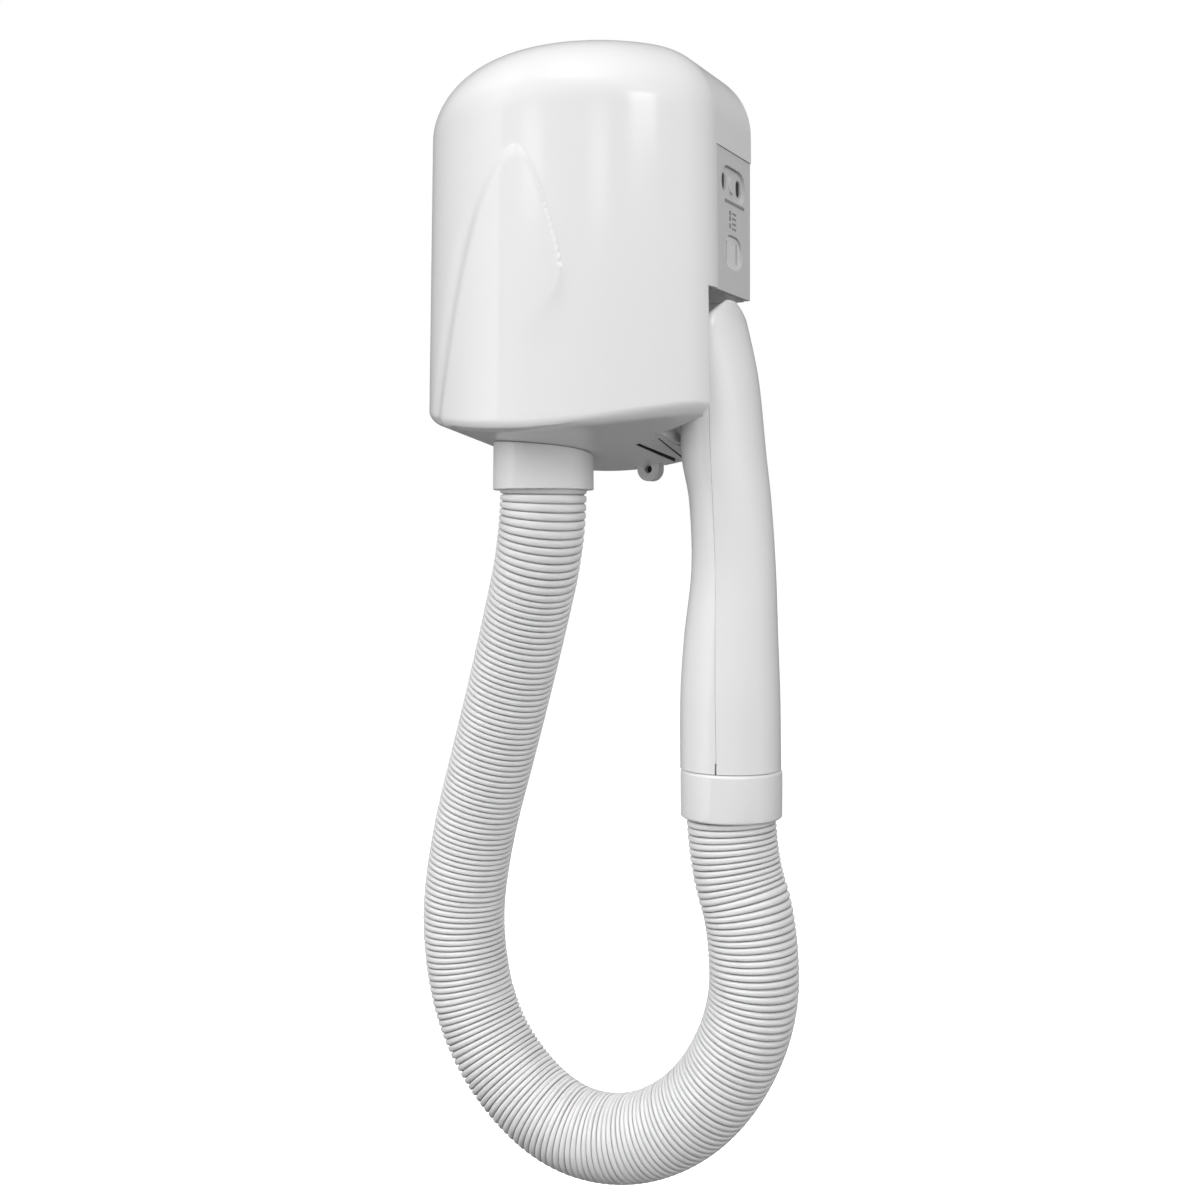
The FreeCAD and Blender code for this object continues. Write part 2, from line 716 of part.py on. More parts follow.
def build_wiring():
    """Terminal block on the base plate, where the mains cable comes through."""
    body = doc.addObject("PartDesign::Body", "terminal_block")
    outline = sketch_on(body, "XZ_Plane", "plate_thick")
    draw_rectangle(outline, (-66, -46), (-52, -22))
    pad(body, outline, 11)
    for step in range(3):
        screw = sketch_on(body, "XZ_Plane", "plate_thick + 11")
        draw_circle(screw, -56, f"-47 + 10 * {step}", 2.4)
        pocket(body, screw, 8)
    node(body, "terminal_block")
    heads = [cylinder(-56, -6.4, f"-47 + 10 * {step}", 2.2, 5, OUT) for step in range(3)]
    node(group(*heads), "terminal_screws")


# ---------------------------------------------------------------- hose and cuffs


def build_cuffs():
    """The upper cuff reaches up to the slanting underside; the lower one turns on the handset's tail."""
    upper = revolved(
        "upper_cuff_form",
        [
            ("neck_radius", "cuff_top"),
            ("cuff_radius", "cuff_top"),
            ("cuff_radius", "cuff_bottom + 0.8"),
            ("cuff_radius - 0.8", "cuff_bottom"),
            ("hose_bore", "cuff_bottom"),
            ("hose_bore", "neck_bottom"),
            ("neck_radius", "neck_bottom"),
        ],
        "duct_x",
        "duct_y",
        0,
    )
    node(cut(upper, shaped(housing_form(-value("gap"), 1), "underside_room")), "hose_cuff_upper")
    turned(
        "hose_cuff_lower",
        [
            ("swivel_bore", "handset_low - gap"),
            ("swivel_radius - 1", "handset_low - gap"),
            ("swivel_radius", "handset_low - gap - 1"),
            ("swivel_radius", "swivel_bottom + 1"),
            ("swivel_radius - 1", "swivel_bottom"),
            ("hose_bore", "swivel_bottom"),
            ("hose_bore", "swivel_bottom + 3"),
            ("swivel_bore", "swivel_bottom + 3"),
        ],
        "handset_x",
        "handset_y",
        0,
    )
    turned(
        "handset_tail",
        [
            ("tail_radius - 2", "swivel_bottom + 3.5"),
            ("tail_radius", "swivel_bottom + 3.5"),
            ("tail_radius", "handset_low + 14"),
            ("tail_radius - 2", "handset_low + 14"),
        ],
        "handset_x",
        "handset_y",
        0,
    )


def hose_path():
    """Straight runs joined by arcs, each arc as large as its two runs allow."""
    points = [Vector(*point) for point in HOSE_ROUTE]
    edges = []
    here = points[0]
    radii = []
    for before, corner, after in zip(points, points[1:], points[2:]):
        inward = (corner - before).normalize()
        outward = (after - corner).normalize()
        turn = inward.getAngle(outward)
        reach = 0.45 * min((corner - before).Length, (after - corner).Length)
        radius = reach / math.tan(turn / 2)
        radii.append(round(radius))
        start = corner - inward * reach
        end = corner + outward * reach
        middle = corner + (outward - inward).normalize() * radius * (1 / math.cos(turn / 2) - 1)
        edges.append(Part.LineSegment(here, start).toShape())
        edges.append(Part.Arc(start, middle, end).toShape())
        here = end
    edges.append(Part.LineSegment(here, points[-1]).toShape())
    print("hose bend radii, mm:", radii)
    return Part.Wire(edges)


def build_hose():
    path = hose_path()
    start = path.Edges[0].valueAt(0)
    heading = path.Edges[0].tangentAt(0)

    def pipe(radius):
        section = Part.Wire(Part.makeCircle(radius, start, heading))
        return path.makePipeShell([section], True, True)

    outer = value("hose_radius")
    bore = value("hose_bore")
    tube = pipe(outer).cut(pipe(bore))
    expected = math.pi * (outer**2 - bore**2) * path.Length
    print("hose length, mm:", round(path.Length, 1))
    print("hose volume over section x length:", tube.Volume / expected)
    node(shaped(tube, "hose_form"), "hose")


# ---------------------------------------------------------------- handset


def handset_form(inset):
    """The handset's outer form, or its hollow when inset by the shell's wall."""
    sections = []
    for height, inner, outer, half_depth in HANDSET_SECTIONS:
        middle_x = (inner + outer) / 2
        half_width = (outer - inner) / 2 - inset
        level = height - inset if height > HANDSET_SECTIONS[0][0] else height
        if half_width < inset:
            continue
        around = [math.radians(angle) for angle in range(0, 360, 15)]
        oval = [
            Vector(
                middle_x + half_width * math.cos(angle),
                value("handset_y") + (half_depth - inset) * math.sin(angle),
                level,
            )
            for angle in around
        ]
        curve = Part.BSplineCurve()
        curve.interpolate(oval, PeriodicFlag=True)
        sections.append(Part.Wire(curve.toShape()))
    return Part.makeLoft(sections, True, False, False, LOFT_DEGREE)


def seam_at(height):
    """Where the seam between the two shells lies at a height: it leans outwards going down."""
    return value("handset_x") + value("seam_lean") * (value("seam_middle") - height)


def build_handset():
    outside = handset_form(0)
    hollow = handset_form(value("handset_wall"))
    mouth = Part.makeBox(20, 22, 46, Vector(48, value("handset_y") - 11, -91))
    shell = outside.cut(hollow).cut(mouth)
    for label, side in (("handset_shell_inner", -1), ("handset_shell_outer", 1)):
        corners = [
            Vector(seam_at(0) + side * 0.05, -120, 0),
            Vector(seam_at(0) + side * 100, -120, 0),
            Vector(seam_at(-BIG) + side * 100, -120, -BIG),
            Vector(seam_at(-BIG) + side * 0.05, -120, -BIG),
        ]
        slab = Part.Face(Part.makePolygon(corners + corners[:1])).extrude(Vector(0, 200, 0))
        node(shaped(shell.common(slab), label + "_form"), label)

    grille = doc.addObject("PartDesign::Body", "outlet_grille")
    plate = sketch_on(grille, "YZ_Plane", 62)
    draw_stadium(plate, "handset_y", -68, 12, 13, upright=True)
    pad(grille, plate, 2)
    for step in range(-4, 5):
        slot = sketch_on(grille, "YZ_Plane", 64)
        heights = (f"-69.4 + 4.6 * {step}", f"-66.6 + 4.6 * {step}")
        draw_rectangle(slot, ("handset_y - 9", "handset_y + 9"), heights)
        pocket(grille, slot)
    node(grille, "outlet_grille")
    pegs = [cylinder(69, "handset_y", z, 2, 14, RIGHT) for z in (-228, -150)]
    node(group(*pegs), "handset_screws")


# ---------------------------------------------------------------- whole object

cover, cover_shell = build_cover()
build_plunger(cover_shell)
build_base_plate()
build_recess()
build_sockets()
build_blower()
build_heater()
build_wiring()
build_cuffs()
build_hose()
build_handset()
doc.recompute()

failed = [item.Label for item in doc.Objects if "Invalid" in item.State or "Error" in item.State]
if failed:
    raise SystemExit(f"failed objects: {failed}")
os.makedirs("parts", exist_ok=True)
for piece in nodes:
    if piece.Shape.isNull() or not piece.Shape.isValid():
        raise SystemExit(f"bad shape: {piece.Label}")
    piece.Shape.exportStep(f"parts/{piece.Label}.step")
    solids, volume = len(piece.Shape.Solids), piece.Shape.Volume / 1000
    print(f"{piece.Label:22s} solids {solids}  volume {volume:8.2f} cm3")
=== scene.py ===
"""Looks for the wall-mounted hose hair dryer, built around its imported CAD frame."""

import json
import math

import bmesh
import bpy
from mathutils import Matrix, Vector


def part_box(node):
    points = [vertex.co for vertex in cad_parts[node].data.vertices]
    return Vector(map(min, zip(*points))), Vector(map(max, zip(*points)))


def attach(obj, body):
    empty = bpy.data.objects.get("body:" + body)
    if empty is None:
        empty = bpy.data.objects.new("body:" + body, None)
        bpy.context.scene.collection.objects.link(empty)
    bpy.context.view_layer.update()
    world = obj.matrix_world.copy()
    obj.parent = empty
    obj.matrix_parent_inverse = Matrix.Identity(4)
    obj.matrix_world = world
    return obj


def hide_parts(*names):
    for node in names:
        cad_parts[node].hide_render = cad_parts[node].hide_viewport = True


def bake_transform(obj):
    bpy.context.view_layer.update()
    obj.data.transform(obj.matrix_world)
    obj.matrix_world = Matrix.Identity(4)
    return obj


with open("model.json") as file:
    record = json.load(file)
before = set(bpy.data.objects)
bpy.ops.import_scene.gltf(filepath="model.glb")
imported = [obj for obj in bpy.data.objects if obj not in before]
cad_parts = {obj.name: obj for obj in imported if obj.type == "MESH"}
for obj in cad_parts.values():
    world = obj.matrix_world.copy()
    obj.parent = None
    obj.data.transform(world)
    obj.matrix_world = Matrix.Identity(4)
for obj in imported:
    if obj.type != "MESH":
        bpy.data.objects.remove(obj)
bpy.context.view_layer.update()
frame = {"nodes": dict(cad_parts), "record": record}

MM = 0.001

# ---------------------------------------------------------------- sizes, in millimetres

# The pointed arch on the front: how far it stands out, and the soft valley along its left edge.
RELIEF_HEIGHT = 1.3
VALLEY_DEPTH = 0.9
VALLEY_WIDTH = 4.5
ARCH_TIP = (-2, 42.6)
ARCH_LEFT_SPREAD = 4.95
ARCH_RIGHT_SPREAD = 2.35
ARCH_RIGHT_POWER = 0.57
ARCH_LEFT_RAMP = 9.0
ARCH_RIGHT_STEP = 1.3
ARCH_RIGHT_FADE = 34
# The arch is pushed out only between these limits, and where the surface's normal lies this level or more.
ARCH_BACK = -40
ARCH_LOW = -104
ARCH_HIGH = 50
ARCH_LEVEL_SHARE = 0.7

# The cover: its walls lean outwards by DRAFT per millimetre below the shoulder, where its plan is as stated.
COVER_HALF = 75
COVER_FRONT = 99.2 - RELIEF_HEIGHT
COVER_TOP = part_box("front_cover")[1].z / MM
COVER_WALL = 2.5
SHOULDER = 60
SIDE_RADIUS = 43.5
FRONT_RADIUS = 41
CORNER_RADIUS = 30
BULGE = 52
DRAFT = 0.0125
WELL_BELOW = -130
LIP_RADIUS = 4.5
BELLY_LOW = -103
BELLY_RADIUS = 184
BELLY_RISE = 0.15

# Openings of the cover.
FIT_GAP = 0.3
DUCT_HOLE_RADIUS = 23.2
EAR_NOTCH_LOW = (15.4, -6.6, -115)
EAR_NOTCH_HIGH = (28.6, 1, -90)
INTAKE_LEVELS = range(-60, 31, 9)
INTAKE_Y = -27
INTAKE_HALF_LENGTH = 15
INTAKE_HALF_HEIGHT = 1.2

# Plan of the dock plunger's foot, a long wedge that narrows towards the wall.
FOOT_FRONT_Y, FOOT_BACK_Y = -45, -4
FOOT_FRONT_LEFT, FOOT_FRONT_RIGHT = 36.2, 45.5
FOOT_BACK_LEFT, FOOT_BACK_RIGHT = 38.2, 40.2
BACK_ROOM_SHARE = 1.3
# Heights over the underside of the black strips that paint the shade in the gaps beside the plunger's foot.
GAP_SHADE_LOW, GAP_SHADE_HIGH = 0.1, 2.4

PANEL_LOW, PANEL_HIGH = (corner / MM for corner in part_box("socket_panel"))
PANEL_MIDDLE_Y = -22
BLOCK_BOTTOM = PANEL_LOW.z - 0.3

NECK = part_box("outlet_neck")
DUCT_X = (NECK[0].x + NECK[1].x) / 2 / MM
DUCT_Y = (NECK[0].y + NECK[1].y) / 2 / MM
UPPER_CUFF = [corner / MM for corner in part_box("hose_cuff_upper")]
LOWER_CUFF = [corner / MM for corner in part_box("hose_cuff_lower")]
SEAM_X = (LOWER_CUFF[0].x + LOWER_CUFF[1].x) / 2
HANDSET_Y = (LOWER_CUFF[0].y + LOWER_CUFF[1].y) / 2
HANDSET_WALL = 2.2
SEAM_LEAN = 0.0232
SEAM_MIDDLE = -165
SEAM_HALF_WIDTH = 0.09
NOTCH_HALF_WIDTH = 0.7
MOUTH_MIDDLE = -68
MOUTH_HALF_DEPTH = 11
MOUTH_HALF_HEIGHT = 23
MOUTH_CORNER = 10.9

# Bores of the cuffs, and the narrower mouth at the end where the hose goes in.
UPPER_BORE = 22.75
LOWER_BORE = 20.55
CUFF_MOUTH = 21.6
CUFF_MOUTH_EDGE = 21.9
UNDERSIDE_GAP = 0.35

# The handset from its foot to its last section: height, inner edge and outer edge along X, half depth.
HANDSET_SECTIONS = [
    (-246.5, 51.6, 99.6, 23.3),
    (-212.0, 51.6, 99.2, 22.8),
    (-185.0, 53.3, 98.3, 21.3),
    (-152.0, 57.0, 97.2, 19.4),
    (-119.0, 56.0, 94.6, 20.6),
    (-98.0, 52.3, 92.0, 22.3),
    (-72.0, 52.3, 89.2, 22.8),
    (-60.0, 52.3, 87.5, 22.9),
    (-50.0, 52.6, 85.4, 22.9),
    (-43.0, 54.8, 83.6, 22.6),
    (-37.0, 60.5, 81.8, 21.6),
    (-32.0, 68.0, 80.0, 18.5),
    (-28.0, 72.0, 78.6, 12.0),
    (-25.5, 73.6, 77.5, 6.5),
]
# How far the thin rounded ridge at the tip rises above the last section.
TIP_RISE = 0.9

# Centre line of the hose: the control points of its spline, as in the CAD route.
HOSE_ROUTE = [
    (-0.015, -0.048, -0.114),
    (-0.015, -0.048, -0.136),
    (-0.033, -0.036, -0.183),
    (-0.052, -0.029, -0.238),
    (-0.070, -0.026, -0.293),
    (-0.077, -0.026, -0.343),
    (-0.064, -0.026, -0.396),
    (-0.024, -0.026, -0.434),
    (0.021, -0.026, -0.437),
    (0.062, -0.026, -0.412),
    (0.088, -0.028, -0.365),
    (0.087, -0.028, -0.320),
    (0.077, -0.028, -0.291),
    (0.076, -0.028, -0.2708),
]
HOSE_RADIUS = 0.02125
HOSE_BORE = 0.0190
RIB_PITCH = 0.0030
RIB_DEPTH = 0.00145
FIRST_RIB = -0.0015
LAST_RIB_BEYOND = 0.001
# The top of the hose is pulled a little longer by its own weight, and this fades out along it.
PULLED_SHARE = 0.20
PULLED_LENGTH = 0.14
# One rib: share of the pitch, and share of the rib's depth there.
RIB_SHAPE = (
    (0.0, 0.0),
    (0.07, 0.30),
    (0.16, 0.78),
    (0.30, 0.97),
    (0.5, 1.0),
    (0.70, 0.97),
    (0.84, 0.78),
    (0.93, 0.30),
)


# ---------------------------------------------------------------- mesh helpers


def smoothstep(low, high, x):
    t = min(1.0, max(0.0, (x - low) / (high - low)))
    return t * t * (3 - 2 * t)


def mesh_piece(name, points, faces, scale=MM):
    """A mesh object from points in millimetres, or in metres with scale 1."""
    data = bpy.data.meshes.new(name)
    data.from_pydata([Vector(p) * scale for p in points], [], faces)
    data.validate()
    piece = bpy.data.objects.new(name, data)
    bpy.context.scene.collection.objects.link(piece)
    return piece


def grid_faces(rows, columns, wrap=False):
    """Quads of a grid of points stored row by row."""
    last = columns if wrap else columns - 1
    return [
        (
            row * columns + column,
            row * columns + (column + 1) % columns,
            (row + 1) * columns + (column + 1) % columns,
            (row + 1) * columns + column,
        )
        for row in range(rows - 1)
        for column in range(last)
    ]


def set_smooth(piece, degrees=35):
    """Smooth shading that keeps edges sharper than an angle."""
    for face in piece.data.polygons:
        face.use_smooth = True
    piece.data.set_sharp_from_angle(angle=math.radians(degrees))


def clean(piece):
    """Weld doubled points and make every face point outwards."""
    form = bmesh.new()
    form.from_mesh(piece.data)
    bmesh.ops.remove_doubles(form, verts=form.verts, dist=1e-6)
    bmesh.ops.dissolve_degenerate(form, edges=form.edges, dist=1e-7)
    bmesh.ops.recalc_face_normals(form, faces=form.faces)
    form.to_mesh(piece.data)
    form.free()


def apply_modifiers(piece):
    """Replace the mesh by what its modifiers make of it."""
    graph = bpy.context.evaluated_depsgraph_get()
    data = bpy.data.meshes.new_from_object(piece.evaluated_get(graph))
    piece.modifiers.clear()
    piece.data = data


def box_form(low, high):
    """A closed box for cutting, in millimetres."""
    points = [
        (x, y, z)
        for x in (low[0], high[0])
        for y in (low[1], high[1])
        for z in (low[2], high[2])
    ]
    faces = [(0, 1, 3, 2), (4, 6, 7, 5), (0, 4, 5, 1), (2, 3, 7, 6), (0, 2, 6, 4), (1, 5, 7, 3)]
    return mesh_piece("cutter", points, faces)


def prism(outline, axis, low, high, name="cutter"):
    """A closed prism: an outline of (a, b) points, pushed from low to high along X, Y or Z."""
    place = {
        "X": lambda a, b, c: (c, a, b),
        "Y": lambda a, b, c: (a, c, b),
        "Z": lambda a, b, c: (a, b, c),
    }[axis]
    count = len(outline)
    points = [place(a, b, c) for c in (low, high) for a, b in outline]
    faces = [tuple(range(count)), tuple(range(2 * count - 1, count - 1, -1))]
    faces += [(i, (i + 1) % count, count + (i + 1) % count, count + i) for i in range(count)]
    piece = mesh_piece(name, points, faces)
    clean(piece)
    return piece


def rounded_outline(centre_a, centre_b, half_a, half_b, radius, steps=8):
    """Corners of a rounded rectangle."""
    points = []
    for quarter, (side_a, side_b) in enumerate(((1, 1), (-1, 1), (-1, -1), (1, -1))):
        for step in range(steps + 1):
            angle = math.radians(90 * (quarter + step / steps))
            points.append(
                (
                    centre_a + side_a * (half_a - radius) + radius * math.cos(angle),
                    centre_b + side_b * (half_b - radius) + radius * math.sin(angle),
                )
            )
    return points


def round_outline(centre_a, centre_b, radius, steps=48):
    return [
        (
            centre_a + radius * math.cos(2 * math.pi * step / steps),
            centre_b + radius * math.sin(2 * math.pi * step / steps),
        )
        for step in range(steps)
    ]


def cut_away(piece, cutters):
    """Cut several forms out of a piece."""
    for cutter in cutters:
        clean(cutter)
        change = piece.modifiers.new("cut", "BOOLEAN")
        change.operation = "DIFFERENCE"
        change.solver = "EXACT"
        change.object = cutter
        apply_modifiers(piece)
        bpy.data.objects.remove(cutter)
    clean(piece)


def soften(piece, width=0.3, degrees=40, segments=2):
    """Round the sharp edges of a piece by a width in millimetres."""
    bevel = piece.modifiers.new("soften", "BEVEL")
    bevel.width = width * MM
    bevel.segments = segments
    bevel.limit_method = "ANGLE"
    bevel.angle_limit = math.radians(degrees)


def turned(name, profile, x, y, segments=128):
    """A closed ring turned about a vertical axis, from (radius, height) corners in millimetres."""
    points = [
        (x + radius * math.cos(angle), y + radius * math.sin(angle), height)
        for radius, height in profile
        for angle in (2 * math.pi * step / segments for step in range(segments))
    ]
    rows = len(profile)
    faces = grid_faces(rows, segments, wrap=True)
    faces += [
        ((rows - 1) * segments + i, (rows - 1) * segments + (i + 1) % segments, (i + 1) % segments, i)
        for i in range(segments)
    ]
    piece = mesh_piece(name, points, faces)
    clean(piece)
    return piece


def corner_arc(centre_radius, centre_height, radius, start, end, steps=6):
    """Points of a round edge of a turned profile, between two angles in degrees."""
    return [
        (
            centre_radius + radius * math.cos(math.radians(start + (end - start) * step / steps)),
            centre_height + radius * math.sin(math.radians(start + (end - start) * step / steps)),
        )
        for step in range(steps + 1)
    ]


# ---------------------------------------------------------------- materials


def new_material(name, colour, roughness, metallic=0.0):
    """A material with its shader, and a helper that adds and joins nodes."""
    material = bpy.data.materials.new(name)
    material.use_nodes = True
    shader = material.node_tree.nodes["Principled BSDF"]
    shader.inputs["Base Color"].default_value = (*colour, 1)
    shader.inputs["Roughness"].default_value = roughness
    shader.inputs["Metallic"].default_value = metallic
    return material, material.node_tree, shader


def add_noise(tree, scale, detail=3.0, stretch=(1, 1, 1)):
    """Noise in the object's own space, so that it stays on the surface."""
    place = tree.nodes.new("ShaderNodeTexCoord")
    mapping = tree.nodes.new("ShaderNodeMapping")
    mapping.inputs["Scale"].default_value = stretch
    noise = tree.nodes.new("ShaderNodeTexNoise")
    noise.inputs["Scale"].default_value = scale
    noise.inputs["Detail"].default_value = detail
    tree.links.new(place.outputs["Object"], mapping.inputs["Vector"])
    tree.links.new(mapping.outputs["Vector"], noise.inputs["Vector"])
    return noise.outputs["Fac"]


def add_ramp(tree, source, low, high, from_low=0.3, from_high=0.7):
    """Spread a noise over a range of values, or of colours."""
    if isinstance(low, tuple):
        mix = tree.nodes.new("ShaderNodeMix")
        mix.data_type = "RGBA"
        mix.inputs["A"].default_value = (*low, 1)
        mix.inputs["B"].default_value = (*high, 1)
        spread = add_ramp(tree, source, 0.0, 1.0, from_low, from_high)
        tree.links.new(spread, mix.inputs["Factor"])
        return mix.outputs["Result"]
    spread = tree.nodes.new("ShaderNodeMapRange")
    spread.inputs["From Min"].default_value = from_low
    spread.inputs["From Max"].default_value = from_high
    spread.inputs["To Min"].default_value = low
    spread.inputs["To Max"].default_value = high
    tree.links.new(source, spread.inputs["Value"])
    return spread.outputs["Result"]


def add_bump(tree, shader, source, distance, strength=1.0):
    """Raise the surface by a height in metres where the source is high."""
    bump = tree.nodes.new("ShaderNodeBump")
    bump.inputs["Strength"].default_value = strength
    bump.inputs["Distance"].default_value = distance
    tree.links.new(source, bump.inputs["Height"])
    earlier = shader.inputs["Normal"]
    if earlier.is_linked:
        tree.links.new(earlier.links[0].from_socket, bump.inputs["Normal"])
    tree.links.new(bump.outputs["Normal"], shader.inputs["Normal"])


def moulded_plastic(name, colour, roughness, grain_scale, grain_height, shade):
    """Injection-moulded plastic: uneven gloss, a fine skin and a slight drift of colour."""
    material, tree, shader = new_material(name, colour, roughness)
    shader.inputs["IOR"].default_value = 1.53
    darker = tuple(channel * (1 - shade) for channel in colour)
    cloud = add_noise(tree, 9.0, 2.0)
    tree.links.new(add_ramp(tree, cloud, darker, colour), shader.inputs["Base Color"])
    smear = add_noise(tree, 26.0, 4.0, (1, 1, 0.4))
    tree.links.new(add_ramp(tree, smear, roughness * 0.82, roughness * 1.25), shader.inputs["Roughness"])
    add_bump(tree, shader, add_noise(tree, grain_scale, 3.0), grain_height)
    return material


def hose_vinyl():
    """Soft vinyl: matte, with painted shade darkening the grooves between the ribs, and a fine pebble."""
    material, tree, shader = new_material("hose_vinyl", (0.80, 0.80, 0.80), 0.48)
    shader.inputs["IOR"].default_value = 1.5
    shader.inputs["Sheen Weight"].default_value = 0.08
    # Painted shade: the rib height attribute darkens the grooves between the ribs.
    groove_shade_mask = tree.nodes.new("ShaderNodeAttribute")
    groove_shade_mask.attribute_name = "rib"
    tint = add_ramp(tree, groove_shade_mask.outputs["Fac"], (0.30, 0.30, 0.30), (0.82, 0.82, 0.82), 0.0, 0.55)
    cloud = add_ramp(tree, add_noise(tree, 60.0, 4.0), (0.93, 0.93, 0.93), (1.0, 1.0, 1.0))
    blend = tree.nodes.new("ShaderNodeMix")
    blend.data_type = "RGBA"
    blend.blend_type = "MULTIPLY"
    blend.inputs["Factor"].default_value = 1.0
    tree.links.new(tint, blend.inputs["A"])
    tree.links.new(cloud, blend.inputs["B"])
    tree.links.new(blend.outputs["Result"], shader.inputs["Base Color"])
    tree.links.new(add_ramp(tree, add_noise(tree, 45.0, 3.0), 0.40, 0.58), shader.inputs["Roughness"])
    add_bump(tree, shader, add_noise(tree, 1400.0, 2.0), 0.00004)
    return material


def worked_metal(name, colour, roughness, stretch):
    """Metal with the marks of drawing, rolling or turning along one direction."""
    material, tree, shader = new_material(name, colour, roughness, 1.0)
    marks = add_noise(tree, 120.0, 6.0, stretch)
    darker = tuple(channel * 0.8 for channel in colour)
    tint = add_ramp(tree, add_noise(tree, 70.0, 3.0), darker, colour)
    tree.links.new(tint, shader.inputs["Base Color"])
    tree.links.new(add_ramp(tree, marks, roughness * 0.7, roughness * 1.4), shader.inputs["Roughness"])
    add_bump(tree, shader, marks, 0.00002)
    return material


def banded(name, colour, dark, roughness, axis, bands_per_metre, metallic, height):
    """Laminations, windings or pressed layers: fine bands across one axis."""
    material, tree, shader = new_material(name, colour, roughness, metallic)
    place = tree.nodes.new("ShaderNodeTexCoord")
    wave = tree.nodes.new("ShaderNodeTexWave")
    wave.bands_direction = axis
    wave.inputs["Scale"].default_value = bands_per_metre / 20 * math.pi
    wave.inputs["Distortion"].default_value = 0.4
    tree.links.new(place.outputs["Object"], wave.inputs["Vector"])
    tint = add_ramp(tree, wave.outputs["Fac"], dark, colour, 0.0, 0.6)
    tree.links.new(tint, shader.inputs["Base Color"])
    wear = add_ramp(tree, add_noise(tree, 90.0), roughness * 0.8, roughness * 1.2)
    tree.links.new(wear, shader.inputs["Roughness"])
    add_bump(tree, shader, wave.outputs["Fac"], height)
    return material


# Colour, roughness, grain per metre, grain height in metres, drift of the colour.
PLASTICS = {
    "white_gloss_plastic": ((0.83, 0.83, 0.83), 0.145, 420.0, 0.00001, 0.015),
    "white_satin_plastic": ((0.80, 0.80, 0.80), 0.34, 900.0, 0.000015, 0.03),
    "pale_grey_plastic": ((0.66, 0.66, 0.665), 0.42, 1500.0, 0.00003, 0.03),
    "natural_plastic": ((0.60, 0.585, 0.53), 0.45, 700.0, 0.00002, 0.06),
    "black_plastic": ((0.03, 0.03, 0.034), 0.38, 900.0, 0.00002, 0.2),
    "grey_print": ((0.30, 0.30, 0.305), 0.55, 900.0, 0.00002, 0.1),
}
# Colour, roughness, stretch of the marks along X, Y and Z.
METALS = {
    "zinc_steel": ((0.63, 0.64, 0.66), 0.32, (1, 1, 8)),
    "spring_steel": ((0.46, 0.46, 0.48), 0.26, (12, 1, 1)),
    "brass_strip": ((0.76, 0.57, 0.25), 0.28, (1, 6, 1)),
    "heater_metal": ((0.70, 0.69, 0.66), 0.36, (1, 1, 10)),
    "heater_wire": ((0.36, 0.31, 0.29), 0.45, (1, 1, 1)),
}
# Colour, darker colour, roughness, axis, bands per metre, metallic share, height of a band in metres.
LAYERED = {
    "core_steel": ((0.30, 0.30, 0.32), (0.12, 0.12, 0.13), 0.5, "X", 1400, 0.6, 0.0001),
    "copper_winding": ((0.62, 0.26, 0.10), (0.25, 0.09, 0.03), 0.3, "Z", 1600, 0.7, 0.0002),
    "mica_board": ((0.55, 0.48, 0.36), (0.44, 0.37, 0.27), 0.5, "Z", 300, 0.0, 0.00003),
}
MATERIALS = {name: moulded_plastic(name, *look) for name, look in PLASTICS.items()}
MATERIALS["hose_vinyl"] = hose_vinyl()
MATERIALS.update({name: worked_metal(name, *look) for name, look in METALS.items()})
MATERIALS.update({name: banded(name, *look) for name, look in LAYERED.items()})


def finish_piece(piece, material, body, degrees=35):
    """Give a new piece its material and the body that it rides on."""
    piece.data.materials.clear()
    piece.data.materials.append(MATERIALS[material])
    set_smooth(piece, degrees)
    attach(piece, body)


# ---------------------------------------------------------------- front cover

SIDE_STEPS = 20
CORNER_STEPS = 24
FRONT_STEPS = 84
UNDERSIDE_ROWS = 30
LIP_ROWS = 10
WALL_ROWS = 190
DOME_ROWS = 31
TOP_ROWS = 12


def cover_outline(half_width, front):
    """The cover's plan outline from its back left edge round the front to its back right edge."""
    scale = half_width / COVER_HALF
    corner = CORNER_RADIUS * scale
    bulge = BULGE * scale
    corner_x = half_width - corner
    side_y = -(front - bulge)
    front_radius = (corner_x**2 + bulge**2 - corner**2) / (2 * (bulge - corner))
    front_y = -front + front_radius
    lean = math.atan2(side_y - front_y, corner_x)
    half = [(half_width, side_y * step / SIDE_STEPS) for step in range(SIDE_STEPS)]
    half += [
        (
            corner_x + corner * math.cos(lean * step / CORNER_STEPS),
            side_y + corner * math.sin(lean * step / CORNER_STEPS),
        )
        for step in range(CORNER_STEPS)
    ]
    sweep = math.radians(-90) - lean
    half += [
        (
            front_radius * math.cos(lean + sweep * step / FRONT_STEPS),
            front_y + front_radius * math.sin(lean + sweep * step / FRONT_STEPS),
        )
        for step in range(FRONT_STEPS)
    ]
    left = [(-x, y) for x, y in half]
    return left + [(0.0, -front)] + half[::-1]


def belly_height(x, y):
    """Height of the underside: an arc across the width that rises towards the front."""
    return BELLY_LOW + BELLY_RISE * -y + BELLY_RADIUS - math.sqrt(BELLY_RADIUS**2 - x**2)


